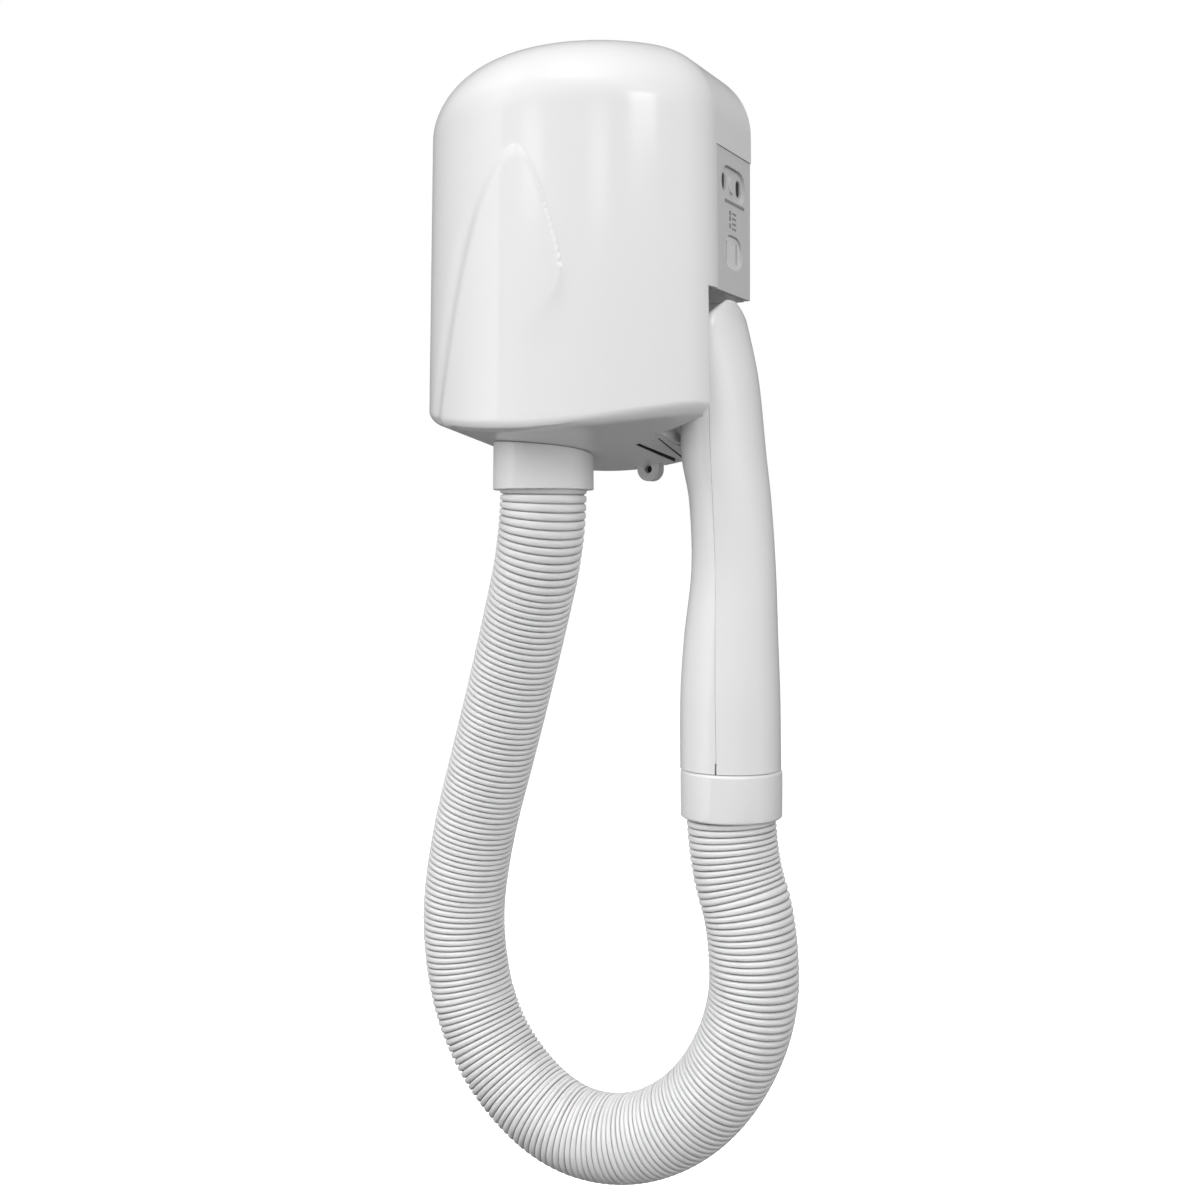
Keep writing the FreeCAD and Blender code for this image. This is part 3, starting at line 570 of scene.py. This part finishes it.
def relief(x, height):
    """How far the pointed arch on the front stands out, with a soft valley along its left edge."""
    middle, tip = ARCH_TIP
    drop = tip - height
    if drop <= 0:
        return 0.0
    left = middle - ARCH_LEFT_SPREAD * math.sqrt(drop)
    right = middle + ARCH_RIGHT_SPREAD * drop**ARCH_RIGHT_POWER
    ramp = min(ARCH_LEFT_RAMP, (right - left) * 0.5)
    step = ARCH_RIGHT_STEP + ARCH_RIGHT_FADE * smoothstep(58, 100, drop)
    rise = RELIEF_HEIGHT * smoothstep(-3, 7, drop)
    valley = VALLEY_DEPTH * smoothstep(12, 45, drop) * (1 - 0.35 * smoothstep(85, 125, drop))
    swell = rise * smoothstep(left, left + ramp, x) * smoothstep(right, right - step, x)
    return swell - valley * math.exp(-(((x - left) / VALLEY_WIDTH) ** 2))


def wall_column(top, low):
    """A straight line down one drafted wall, as a function of height."""

    def at(height):
        share = (SHOULDER - height) / (SHOULDER - WELL_BELOW)
        return top[0] + (low[0] - top[0]) * share, top[1] + (low[1] - top[1]) * share

    return at


def cover_rows():
    """Rows of points over the whole outside, from the middle of the underside to the middle of the top."""
    spread = DRAFT * (SHOULDER - WELL_BELOW)
    top_line = cover_outline(COVER_HALF, COVER_FRONT)
    low_line = cover_outline(COVER_HALF + spread, COVER_FRONT + spread)
    walls = [wall_column(top, low) for top, low in zip(top_line, low_line)]
    feet = []
    for wall in walls:
        foot = BELLY_LOW
        for _ in range(4):
            foot = belly_height(*wall(foot)) + LIP_RADIUS
        feet.append((*wall(foot), foot))
    rim = 1 - LIP_RADIUS / COVER_HALF
    rows = []
    for step in range(UNDERSIDE_ROWS):
        scale = rim * step / UNDERSIDE_ROWS
        rows.append([(x * scale, y * scale, belly_height(x * scale, y * scale)) for x, y, _ in feet])
    for step in range(LIP_ROWS + 1):
        angle = math.radians(90 - 90 * step / LIP_ROWS)
        scale = 1 - LIP_RADIUS * (1 - math.cos(angle)) / COVER_HALF
        lift = LIP_RADIUS * (1 - math.sin(angle))
        places = [(x * scale, y * scale) for x, y, _ in feet]
        rows.append([(x, y, belly_height(x, y) + lift) for x, y in places])
    for step in range(1, WALL_ROWS):
        row = []
        for wall, (_, _, foot) in zip(walls, feet):
            height = foot + (SHOULDER - foot) * step / WALL_ROWS
            row.append((*wall(height), height))
        rows.append(row)
    for step in range(DOME_ROWS):
        angle = math.radians(90 * step / DOME_ROWS)
        half_width = COVER_HALF - SIDE_RADIUS + SIDE_RADIUS * math.cos(angle)
        front = COVER_FRONT - FRONT_RADIUS + FRONT_RADIUS * math.cos(angle)
        height = SHOULDER + (COVER_TOP - SHOULDER) * math.sin(angle)
        rows.append([(x, y, height) for x, y in cover_outline(half_width, front)])
    top = cover_outline(COVER_HALF - SIDE_RADIUS, COVER_FRONT - FRONT_RADIUS)
    for step in range(TOP_ROWS + 1):
        scale = 1 - step / TOP_ROWS
        rows.append([(x * scale, y * scale, COVER_TOP) for x, y in top])
    return rows


def raise_relief(piece):
    """Push the front out where the arch is, along the surface."""
    normals = [vertex.normal.copy() for vertex in piece.data.vertices]
    for vertex, normal in zip(piece.data.vertices, normals):
        x, y, height = vertex.co / MM
        if y < ARCH_BACK and ARCH_LOW < height < ARCH_HIGH and abs(normal.z) < ARCH_LEVEL_SHARE:
            vertex.co += normal * relief(x, height) * MM


def plunger_window(room=2.4, margin=1.0):
    """Plan of the opening round the dock plunger, with room on its left to slide."""
    front_y, back_y = FOOT_FRONT_Y - margin, FOOT_BACK_Y + margin
    return [
        (FOOT_FRONT_LEFT - room, front_y),
        (FOOT_FRONT_RIGHT + margin, front_y),
        (FOOT_BACK_RIGHT + margin, back_y),
        (FOOT_BACK_LEFT - BACK_ROOM_SHARE * room, back_y),
    ]


def gap_shade_strip(name, front, back, thickness, body):
    """A black strip of painted shade standing on the underside's edge, from a front point to a back point.
    """
    points = [
        (x + across, y, belly_height(x, y) + rise)
        for rise in (GAP_SHADE_LOW, GAP_SHADE_HIGH)
        for (x, y), across in ((front, 0), (front, thickness), (back, thickness), (back, 0))
    ]
    faces = [(0, 1, 2, 3), (7, 6, 5, 4), (0, 4, 5, 1), (1, 5, 6, 2), (2, 6, 7, 3), (3, 7, 4, 0)]
    shade_piece = mesh_piece(name, points, faces)
    clean(shade_piece)
    finish_piece(shade_piece, "black_plastic", body)


def build_gap_shades():
    """Black strips of painted shade in the two gaps beside the dock plunger: one on the housing and one on
    the plunger.
    """
    left_front, _, _, left_back = plunger_window()
    _, foot_front, foot_back, _ = plunger_window(0, 0)
    gap_shade_strip("housing_gap_shade", left_front, left_back, thickness=0.45, body="housing")
    gap_shade_strip("plunger_gap_shade", foot_front, foot_back, thickness=0.4, body="plunger")


def build_cover():
    rows = cover_rows()
    columns = len(rows[0])
    points = [point for row in rows for point in row]
    cover = mesh_piece("cover_shell", points, grid_faces(len(rows), columns))
    clean(cover)
    # The skin is open at the wall, so all its faces may have come out pointing inwards.
    if cover.data.polygons[len(cover.data.polygons) // 2].normal.y > 0:
        cover.data.flip_normals()
    raise_relief(cover)
    shell = cover.modifiers.new("wall", "SOLIDIFY")
    shell.thickness = COVER_WALL * MM
    shell.offset = -1
    shell.use_even_offset = True
    apply_modifiers(cover)
    outside = COVER_HALF + 9
    liner_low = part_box("recess_liner")[0] / MM
    behind_wall_plane = box_form((-outside, 0, WELL_BELOW), (outside, 3, COVER_TOP + 5))
    panel_hole = box_form(
        (COVER_HALF - 10, PANEL_LOW.y - FIT_GAP, BLOCK_BOTTOM), (outside, 1, PANEL_HIGH.z + FIT_GAP)
    )
    recess = box_form(
        (liner_low.x - FIT_GAP, liner_low.y - FIT_GAP, WELL_BELOW), (outside, 1, BLOCK_BOTTOM + 0.1)
    )
    duct_hole = prism(round_outline(DUCT_X, DUCT_Y, DUCT_HOLE_RADIUS, 96), "Z", -120, -70)
    ear_notch = box_form(EAR_NOTCH_LOW, EAR_NOTCH_HIGH)
    window = prism(plunger_window(), "Z", -110, -80)
    intakes = []
    for low in INTAKE_LEVELS:
        middle = low + INTAKE_HALF_HEIGHT
        slit = rounded_outline(INTAKE_Y, middle, INTAKE_HALF_LENGTH, INTAKE_HALF_HEIGHT, 1.19, 6)
        intakes.append(prism(slit, "X", -outside, -COVER_HALF + 6))
    cut_away(cover, [behind_wall_plane, panel_hole, recess, duct_hole, ear_notch, window, *intakes])
    finish_piece(cover, "white_gloss_plastic", "housing")
    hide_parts("front_cover")


# ---------------------------------------------------------------- handset


def between(rows, height):
    """Smooth curve through the rows of a table, read at a height."""
    index = max(i for i in range(len(rows) - 1) if rows[i][0] <= height or i == 0)
    first, second = rows[index], rows[index + 1]
    before = rows[max(index - 1, 0)]
    after = rows[min(index + 2, len(rows) - 1)]
    span = second[0] - first[0]
    t = (height - first[0]) / span
    values = []
    for part in range(1, 4):
        slope_first = (second[part] - before[part]) / (second[0] - before[0]) * span
        slope_second = (after[part] - first[part]) / (after[0] - first[0]) * span
        values.append(
            (2 * t**3 - 3 * t**2 + 1) * first[part]
            + (t**3 - 2 * t**2 + t) * slope_first
            + (3 * t**2 - 2 * t**3) * second[part]
            + (t**3 - t**2) * slope_second
        )
    return values


def handset_rows(columns):
    """Ovals from the handset's foot up to the thin rounded ridge at its tip."""
    base = HANDSET_SECTIONS[0][0]
    tip = HANDSET_SECTIONS[-1][0]
    body_rows, ridge_rows = 170, 10
    levels = [
        (base + (tip - base) * math.sin(math.pi / 2 * step / body_rows), 1.0)
        for step in range(body_rows + 1)
    ]
    for step in range(1, ridge_rows + 1):
        angle = math.radians(90 * step / ridge_rows)
        levels.append((tip + TIP_RISE * math.sin(angle), max(math.cos(angle), 0.01)))
    rows = []
    for height, shrink in levels:
        inner, outer, depth = between(HANDSET_SECTIONS, min(height, tip))
        middle = (inner + outer) / 2
        half = (outer - inner) / 2 * shrink
        rows.append(
            [
                (
                    middle + half * math.cos(2 * math.pi * step / columns),
                    HANDSET_Y + depth * shrink * math.sin(2 * math.pi * step / columns),
                    height,
                )
                for step in range(columns)
            ]
        )
    return rows


def seam_at(height):
    """Where the seam between the two halves lies: it leans outwards going down."""
    return SEAM_X + SEAM_LEAN * (SEAM_MIDDLE - height)


def build_handset():
    """The handset's two shells, cut apart on the leaning seam."""
    columns = 128
    rows = handset_rows(columns)
    points = [point for row in rows for point in row]
    faces = grid_faces(len(rows), columns, wrap=True)
    faces.append(tuple((len(rows) - 1) * columns + step for step in range(columns)))
    for name, node, side in (
        ("handset_half_outer", "handset_shell_outer", 1),
        ("handset_half_inner", "handset_shell_inner", -1),
    ):
        half = mesh_piece(name, points, faces)
        form = bmesh.new()
        form.from_mesh(half.data)
        bmesh.ops.recalc_face_normals(form, faces=form.faces)
        bmesh.ops.bisect_plane(
            form,
            geom=form.verts[:] + form.edges[:] + form.faces[:],
            plane_co=((seam_at(0) + side * SEAM_HALF_WIDTH) * MM, 0, 0),
            plane_no=(-side, 0, -side * SEAM_LEAN),
            clear_outer=True,
        )
        form.to_mesh(half.data)
        form.free()
        wall = half.modifiers.new("wall", "SOLIDIFY")
        wall.thickness = HANDSET_WALL * MM
        wall.offset = -1
        soften(half, 0.28, 50, 2)
        apply_modifiers(half)
        notch_x = seam_at(-245)
        notch = box_form(
            (notch_x - NOTCH_HALF_WIDTH, HANDSET_Y - 26, -248),
            (notch_x + NOTCH_HALF_WIDTH, HANDSET_Y - 20, -241.5),
        )
        cutters = [notch]
        if side < 0:
            mouth = rounded_outline(
                HANDSET_Y, MOUTH_MIDDLE, MOUTH_HALF_DEPTH, MOUTH_HALF_HEIGHT, MOUTH_CORNER, 12
            )
            cutters.append(prism(mouth, "X", 45, 68))
        cut_away(half, cutters)
        finish_piece(half, "white_gloss_plastic", "handset", 40)
        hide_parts(node)


# ---------------------------------------------------------------- cuffs


def build_cuffs():
    """The cuff under the housing, up to the slanting underside, and the one that turns on the handset."""
    low = UPPER_CUFF[0].z
    top = low + 16
    radius = (UPPER_CUFF[1].x - UPPER_CUFF[0].x) / 2
    profile = [(UPPER_BORE, top), (radius - 0.2, top)]
    profile += corner_arc(radius - 0.7, low + 0.7, 0.7, 0, -90)
    profile += [(CUFF_MOUTH_EDGE, low), (CUFF_MOUTH, low + 0.4), (CUFF_MOUTH, low + 5)]
    profile += [(UPPER_BORE, low + 5.4)]
    upper = turned("cuff_upper", profile, DUCT_X, DUCT_Y)
    for vertex in upper.data.vertices:
        x, y, height = vertex.co / MM
        if height > top - 0.1:
            vertex.co.z = (belly_height(x, y) - UNDERSIDE_GAP) * MM
    finish_piece(upper, "white_satin_plastic", "housing")
    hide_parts("hose_cuff_upper")

    low, high = LOWER_CUFF[0].z, LOWER_CUFF[1].z
    radius = (LOWER_CUFF[1].x - LOWER_CUFF[0].x) / 2
    profile = [(LOWER_BORE, high)]
    profile += corner_arc(radius - 1.6, high - 1.6, 1.6, 90, 0)
    profile += [(radius, low + 2.6)]
    profile += corner_arc(radius - 1.2, low + 1.2, 1.2, 0, -90)
    profile += [(CUFF_MOUTH_EDGE, low + 0.1), (CUFF_MOUTH, low + 0.6), (CUFF_MOUTH, low + 3)]
    profile += [(LOWER_BORE, low + 3.2)]
    lower = turned("cuff_lower", profile, SEAM_X, HANDSET_Y)
    finish_piece(lower, "white_satin_plastic", "swivel_cuff")
    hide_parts("hose_cuff_lower")


# ---------------------------------------------------------------- hose


def hose_line():
    """Points of the route's own spline, read from the curve."""
    data = bpy.data.curves.new("hose_route", "CURVE")
    data.dimensions = "3D"
    spline = data.splines.new("NURBS")
    spline.points.add(len(HOSE_ROUTE) - 1)
    for point, place in zip(spline.points, HOSE_ROUTE):
        point.co = (*place, 1)
    spline.order_u = 3
    spline.use_endpoint_u = True
    spline.resolution_u = 24
    route = bpy.data.objects.new("hose_route", data)
    bpy.context.scene.collection.objects.link(route)
    bpy.context.view_layer.update()
    graph = bpy.context.evaluated_depsgraph_get()
    line = bpy.data.meshes.new_from_object(route.evaluated_get(graph))
    points = [vertex.co.copy() for vertex in line.vertices]
    bpy.data.objects.remove(route)
    return points


def walk(points, distances):
    """Places and directions along a line at growing distances from its start."""
    found = []
    index = 0
    passed = 0.0
    for distance in distances:
        while index < len(points) - 2 and passed + (points[index + 1] - points[index]).length < distance:
            passed += (points[index + 1] - points[index]).length
            index += 1
        run = points[index + 1] - points[index]
        found.append((points[index] + run.normalized() * (distance - passed), run.normalized()))
    return found


def rib_stations(length):
    """Distances along the hose with the radius and groove shade there, rib after rib."""
    stations = []
    start = FIRST_RIB
    count = 0
    while start < length + LAST_RIB_BEYOND:
        stretch = PULLED_SHARE * (1 - smoothstep(0.0, PULLED_LENGTH, start))
        pitch = RIB_PITCH * (1 + stretch + 0.05 * math.sin(count * 1.7) + 0.03 * math.sin(count * 0.61))
        depth = RIB_DEPTH * (1 + 0.10 * math.sin(count * 2.3))
        for part, height in RIB_SHAPE:
            stations.append((start + part * pitch, HOSE_RADIUS - depth * (1 - height), height))
        start += pitch
        count += 1
    return stations


def build_hose():
    """A closed ribbed tube along the route, with an attribute that darkens its grooves as painted shade."""
    line = hose_line()
    length = sum((b - a).length for a, b in zip(line, line[1:]))
    stations = rib_stations(length)
    places = walk(line, [distance for distance, _, _ in stations])
    columns = 72
    side = Vector((0, 1, 0))
    outer, inner, heights = [], [], []
    for (place, heading), (_, radius, height) in zip(places, stations):
        side = (side - heading * side.dot(heading)).normalized()
        across = heading.cross(side)
        for step in range(columns):
            angle = 2 * math.pi * step / columns
            ray = side * math.cos(angle) + across * math.sin(angle)
            outer.append(place + ray * radius)
            inner.append(place + ray * HOSE_BORE)
            heights.append(height)
    rows = len(stations)
    total = rows * columns
    faces = grid_faces(rows, columns, wrap=True)
    faces += [tuple(total + corner for corner in reversed(face)) for face in faces]
    for first in (0, (rows - 1) * columns):
        faces += [
            (first + i, first + (i + 1) % columns, total + first + (i + 1) % columns, total + first + i)
            for i in range(columns)
        ]
    hose = mesh_piece("ribbed_hose", outer + inner, faces, 1.0)
    shade = hose.data.attributes.new("rib", "FLOAT", "POINT")
    shade.data.foreach_set("value", heights + [1.0] * total)
    form = bmesh.new()
    form.from_mesh(hose.data)
    bmesh.ops.recalc_face_normals(form, faces=form.faces)
    form.to_mesh(hose.data)
    form.free()
    hose.data.materials.append(MATERIALS["hose_vinyl"])
    set_smooth(hose, 80)
    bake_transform(hose)
    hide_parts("hose")


# ---------------------------------------------------------------- marks and holes of the sockets

PANEL_FACE = PANEL_HIGH.x
MARK_DEPTH = 0.12
MARK_ROOT = 0.2
# Marks as (back, front) along Y and (low, high) along Z: a bar, two short strokes, four longer ones.
BAR = ((-33, -8.5), (21.6, 23.2))
SHORT_STROKES = [((-27.4, -25.4), (low, low + 2.2)) for low in (10.2, 13.6)]
LONG_STROKES = [((-23.6, -19), (low, low + 0.9)) for low in (9.9, 12.3, 14.7, 17.1)]
DOT_Y, DOT_Z, DOT_RADIUS = -26.4, 17.4, 1.2

# Half the spacing and the middle height of the upper socket's pins and of the lower socket's blades.
PIN_HALF_SPACING, PIN_HEIGHT = 9.5, 31.5
BLADE_HALF_SPACING, BLADE_HEIGHT = 6.35, -1
EAR_HOLE_X, EAR_HOLE_Z, EAR_HOLE_RADIUS = 22, -102.8, 2.05


def joined(name, parts):
    """Several closed forms as one mesh object."""
    form = bmesh.new()
    for part in parts:
        form.from_mesh(part.data)
        bpy.data.objects.remove(part)
    whole = mesh_piece(name, [], [])
    form.to_mesh(whole.data)
    form.free()
    return whole


def build_marks():
    """A plain bar under the upper socket and a few plain strokes over the lower one."""
    outlines = [
        [(back, low), (front, low), (front, high), (back, high)]
        for (back, front), (low, high) in [BAR, *SHORT_STROKES, *LONG_STROKES]
    ]
    outlines.append(round_outline(DOT_Y, DOT_Z, DOT_RADIUS, 20))
    reach = (PANEL_FACE - MARK_ROOT, PANEL_FACE + MARK_DEPTH)
    marks = joined("panel_marks", [prism(outline, "X", *reach, "mark") for outline in outlines])
    finish_piece(marks, "grey_print", "housing")


def build_hole_shade():
    """Black caps at the bottoms of the sockets' holes, painting the shade in their depths, and a dark cap in
    the locking ear's hole.
    """
    upper_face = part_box("upper_socket")[1].x / MM
    lower_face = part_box("lower_socket")[1].x / MM
    pins = []
    blades = []
    for side in (-1, 1):
        pin_y = PANEL_MIDDLE_Y + side * PIN_HALF_SPACING
        pin = rounded_outline(pin_y, PIN_HEIGHT, 2.7, 3.7, 2.69)
        pins.append(prism(pin, "X", upper_face - 3.4, upper_face - 1.7))
        blade_y = PANEL_MIDDLE_Y + side * BLADE_HALF_SPACING
        blade = rounded_outline(blade_y, BLADE_HEIGHT, 1.0, 4.9, 0.2, 2)
        blades.append(prism(blade, "X", lower_face - 2, lower_face - 0.9))
    ear = prism(round_outline(EAR_HOLE_X, EAR_HOLE_Z, EAR_HOLE_RADIUS, 32), "Y", -2.2, -0.8)
    hole_shade_caps = joined("socket_hole_shade", pins + blades + [ear])
    finish_piece(hole_shade_caps, "black_plastic", "housing")


# ---------------------------------------------------------------- carried-over CAD nodes


def dress_cad_nodes():
    """Give every CAD node that stays in view the material of its slot, and soft edges."""
    slots = {part["node"]: part["material_slot"] for part in frame["record"]["subparts"]}
    round_ones = {"plunger_spring", "heater_coil"}
    for name, node in frame["nodes"].items():
        if node.hide_render:
            continue
        node.data.materials.clear()
        node.data.materials.append(MATERIALS[slots[name]])
        set_smooth(node, 30)
        if name not in round_ones:
            soften(node, 0.25, 35, 2)


# ---------------------------------------------------------------- stage, light and camera

FLOOR_HEIGHT = -0.62
FLOOR_REACH = 60
AMBIENT = 0.17
LIT_MIDDLE = Vector((0.0, -0.05, -0.15))

# Softboxes: azimuth from the front towards the right, elevation, distance, size, brightness.
SOFTBOXES = {
    "left": (-46, 24, 1.7, (1.2, 1.4), 3.8),
    "right": (56, 20, 1.7, (1.2, 1.2), 3.15),
    "back": (185, 22, 1.8, (1.4, 1.2), 2.6),
    "low": (5, -35, 1.6, (1.6, 0.8), 3.3),
}
# Small bright boxes that the gloss mirrors: two upright streaks, and a glint along the arch.
STRIPS = {
    "left_strip": (-19.4, 21.7, 1.6, (0.34, 0.13), 2.6),
    "right_strip": (23.8, 21.3, 1.6, (0.31, 0.13), 2.6),
    "edge_glint": (52, 29, 1.6, (0.42, 0.34), 4.5),
}
SKY_STRENGTH = 1.15
SKY_SPREAD = 50
SKY_LEAN = 8
FLOOR_GLOW = 0.6

CAMERA_PLACE = (0.3396, -0.6828, -0.136)
CAMERA_TURN = 27
CAMERA_LENS = 44.4
CAMERA_SHIFT = -0.0542


def build_stage():
    """A pale glowing floor that neither lights the object nor shows in its gloss."""
    corners = [
        (side_x * FLOOR_REACH, side_y * FLOOR_REACH, FLOOR_HEIGHT)
        for side_x, side_y in ((-1, -1), (1, -1), (1, 1), (-1, 1))
    ]
    floor = mesh_piece("floor", corners, [(0, 1, 2, 3)], 1.0)
    material, _, shader = new_material("studio_floor", (0.96, 0.96, 0.96), 0.9)
    shader.inputs["Emission Color"].default_value = (1, 1, 1, 1)
    shader.inputs["Emission Strength"].default_value = FLOOR_GLOW
    floor.data.materials.append(material)
    floor.visible_diffuse = False
    floor.visible_glossy = False


def build_world():
    """White surroundings to the eye, and a dimmer even light on the object."""
    world = bpy.data.worlds.new("studio")
    bpy.context.scene.world = world
    world.use_nodes = True
    tree = world.node_tree
    even = tree.nodes["Background"]
    seen = tree.nodes.new("ShaderNodeBackground")
    for background, strength in ((even, AMBIENT), (seen, 1.0)):
        background.inputs["Color"].default_value = (1, 1, 1, 1)
        background.inputs["Strength"].default_value = strength
    path = tree.nodes.new("ShaderNodeLightPath")
    mix = tree.nodes.new("ShaderNodeMixShader")
    tree.links.new(path.outputs["Is Camera Ray"], mix.inputs["Fac"])
    tree.links.new(even.outputs["Background"], mix.inputs[1])
    tree.links.new(seen.outputs["Background"], mix.inputs[2])
    tree.links.new(mix.outputs["Shader"], tree.nodes["World Output"].inputs["Surface"])


def area_light(name, azimuth, elevation, distance, size, brightness):
    """A softbox aimed at the object's middle, by its angles and its brightness as seen."""
    turn, lift = math.radians(azimuth), math.radians(elevation)
    towards = Vector((math.sin(turn) * math.cos(lift), -math.cos(turn) * math.cos(lift), math.sin(lift)))
    data = bpy.data.lights.new(name, "AREA")
    data.shape = "RECTANGLE"
    data.size, data.size_y = size
    data.energy = brightness * math.pi * size[0] * size[1]
    light = bpy.data.objects.new(name, data)
    light.location = LIT_MIDDLE + towards * distance
    light.rotation_euler = towards.to_track_quat("Z", "Y").to_euler()
    bpy.context.scene.collection.objects.link(light)
    return light


def build_lights():
    """Softboxes and a sky that reflections don't show, and the strips that they do."""
    for name, setting in SOFTBOXES.items():
        area_light(name, *setting).visible_glossy = False
    for name, setting in STRIPS.items():
        area_light(name, *setting)
    data = bpy.data.lights.new("sky", "SUN")
    data.energy = SKY_STRENGTH
    data.angle = math.radians(SKY_SPREAD)
    sky = bpy.data.objects.new("sky", data)
    sky.rotation_euler = (math.radians(SKY_LEAN), 0, 0)
    sky.visible_glossy = False
    bpy.context.scene.collection.objects.link(sky)


def build_camera():
    """A level camera to the right of the housing's front."""
    data = bpy.data.cameras.new("camera")
    data.lens = CAMERA_LENS
    data.sensor_width = 36
    data.shift_y = CAMERA_SHIFT
    data.clip_start = 0.01
    camera = bpy.data.objects.new("camera", data)
    camera.location = CAMERA_PLACE
    camera.rotation_euler = (math.radians(90), 0, math.radians(CAMERA_TURN))
    bpy.context.scene.collection.objects.link(camera)
    bpy.context.scene.camera = camera


build_camera()
build_hose()
build_cover()
build_gap_shades()
build_handset()
build_cuffs()
build_marks()
build_hole_shade()
dress_cad_nodes()
build_stage()
build_world()
build_lights()
bpy.context.scene.view_settings.view_transform = "Standard"
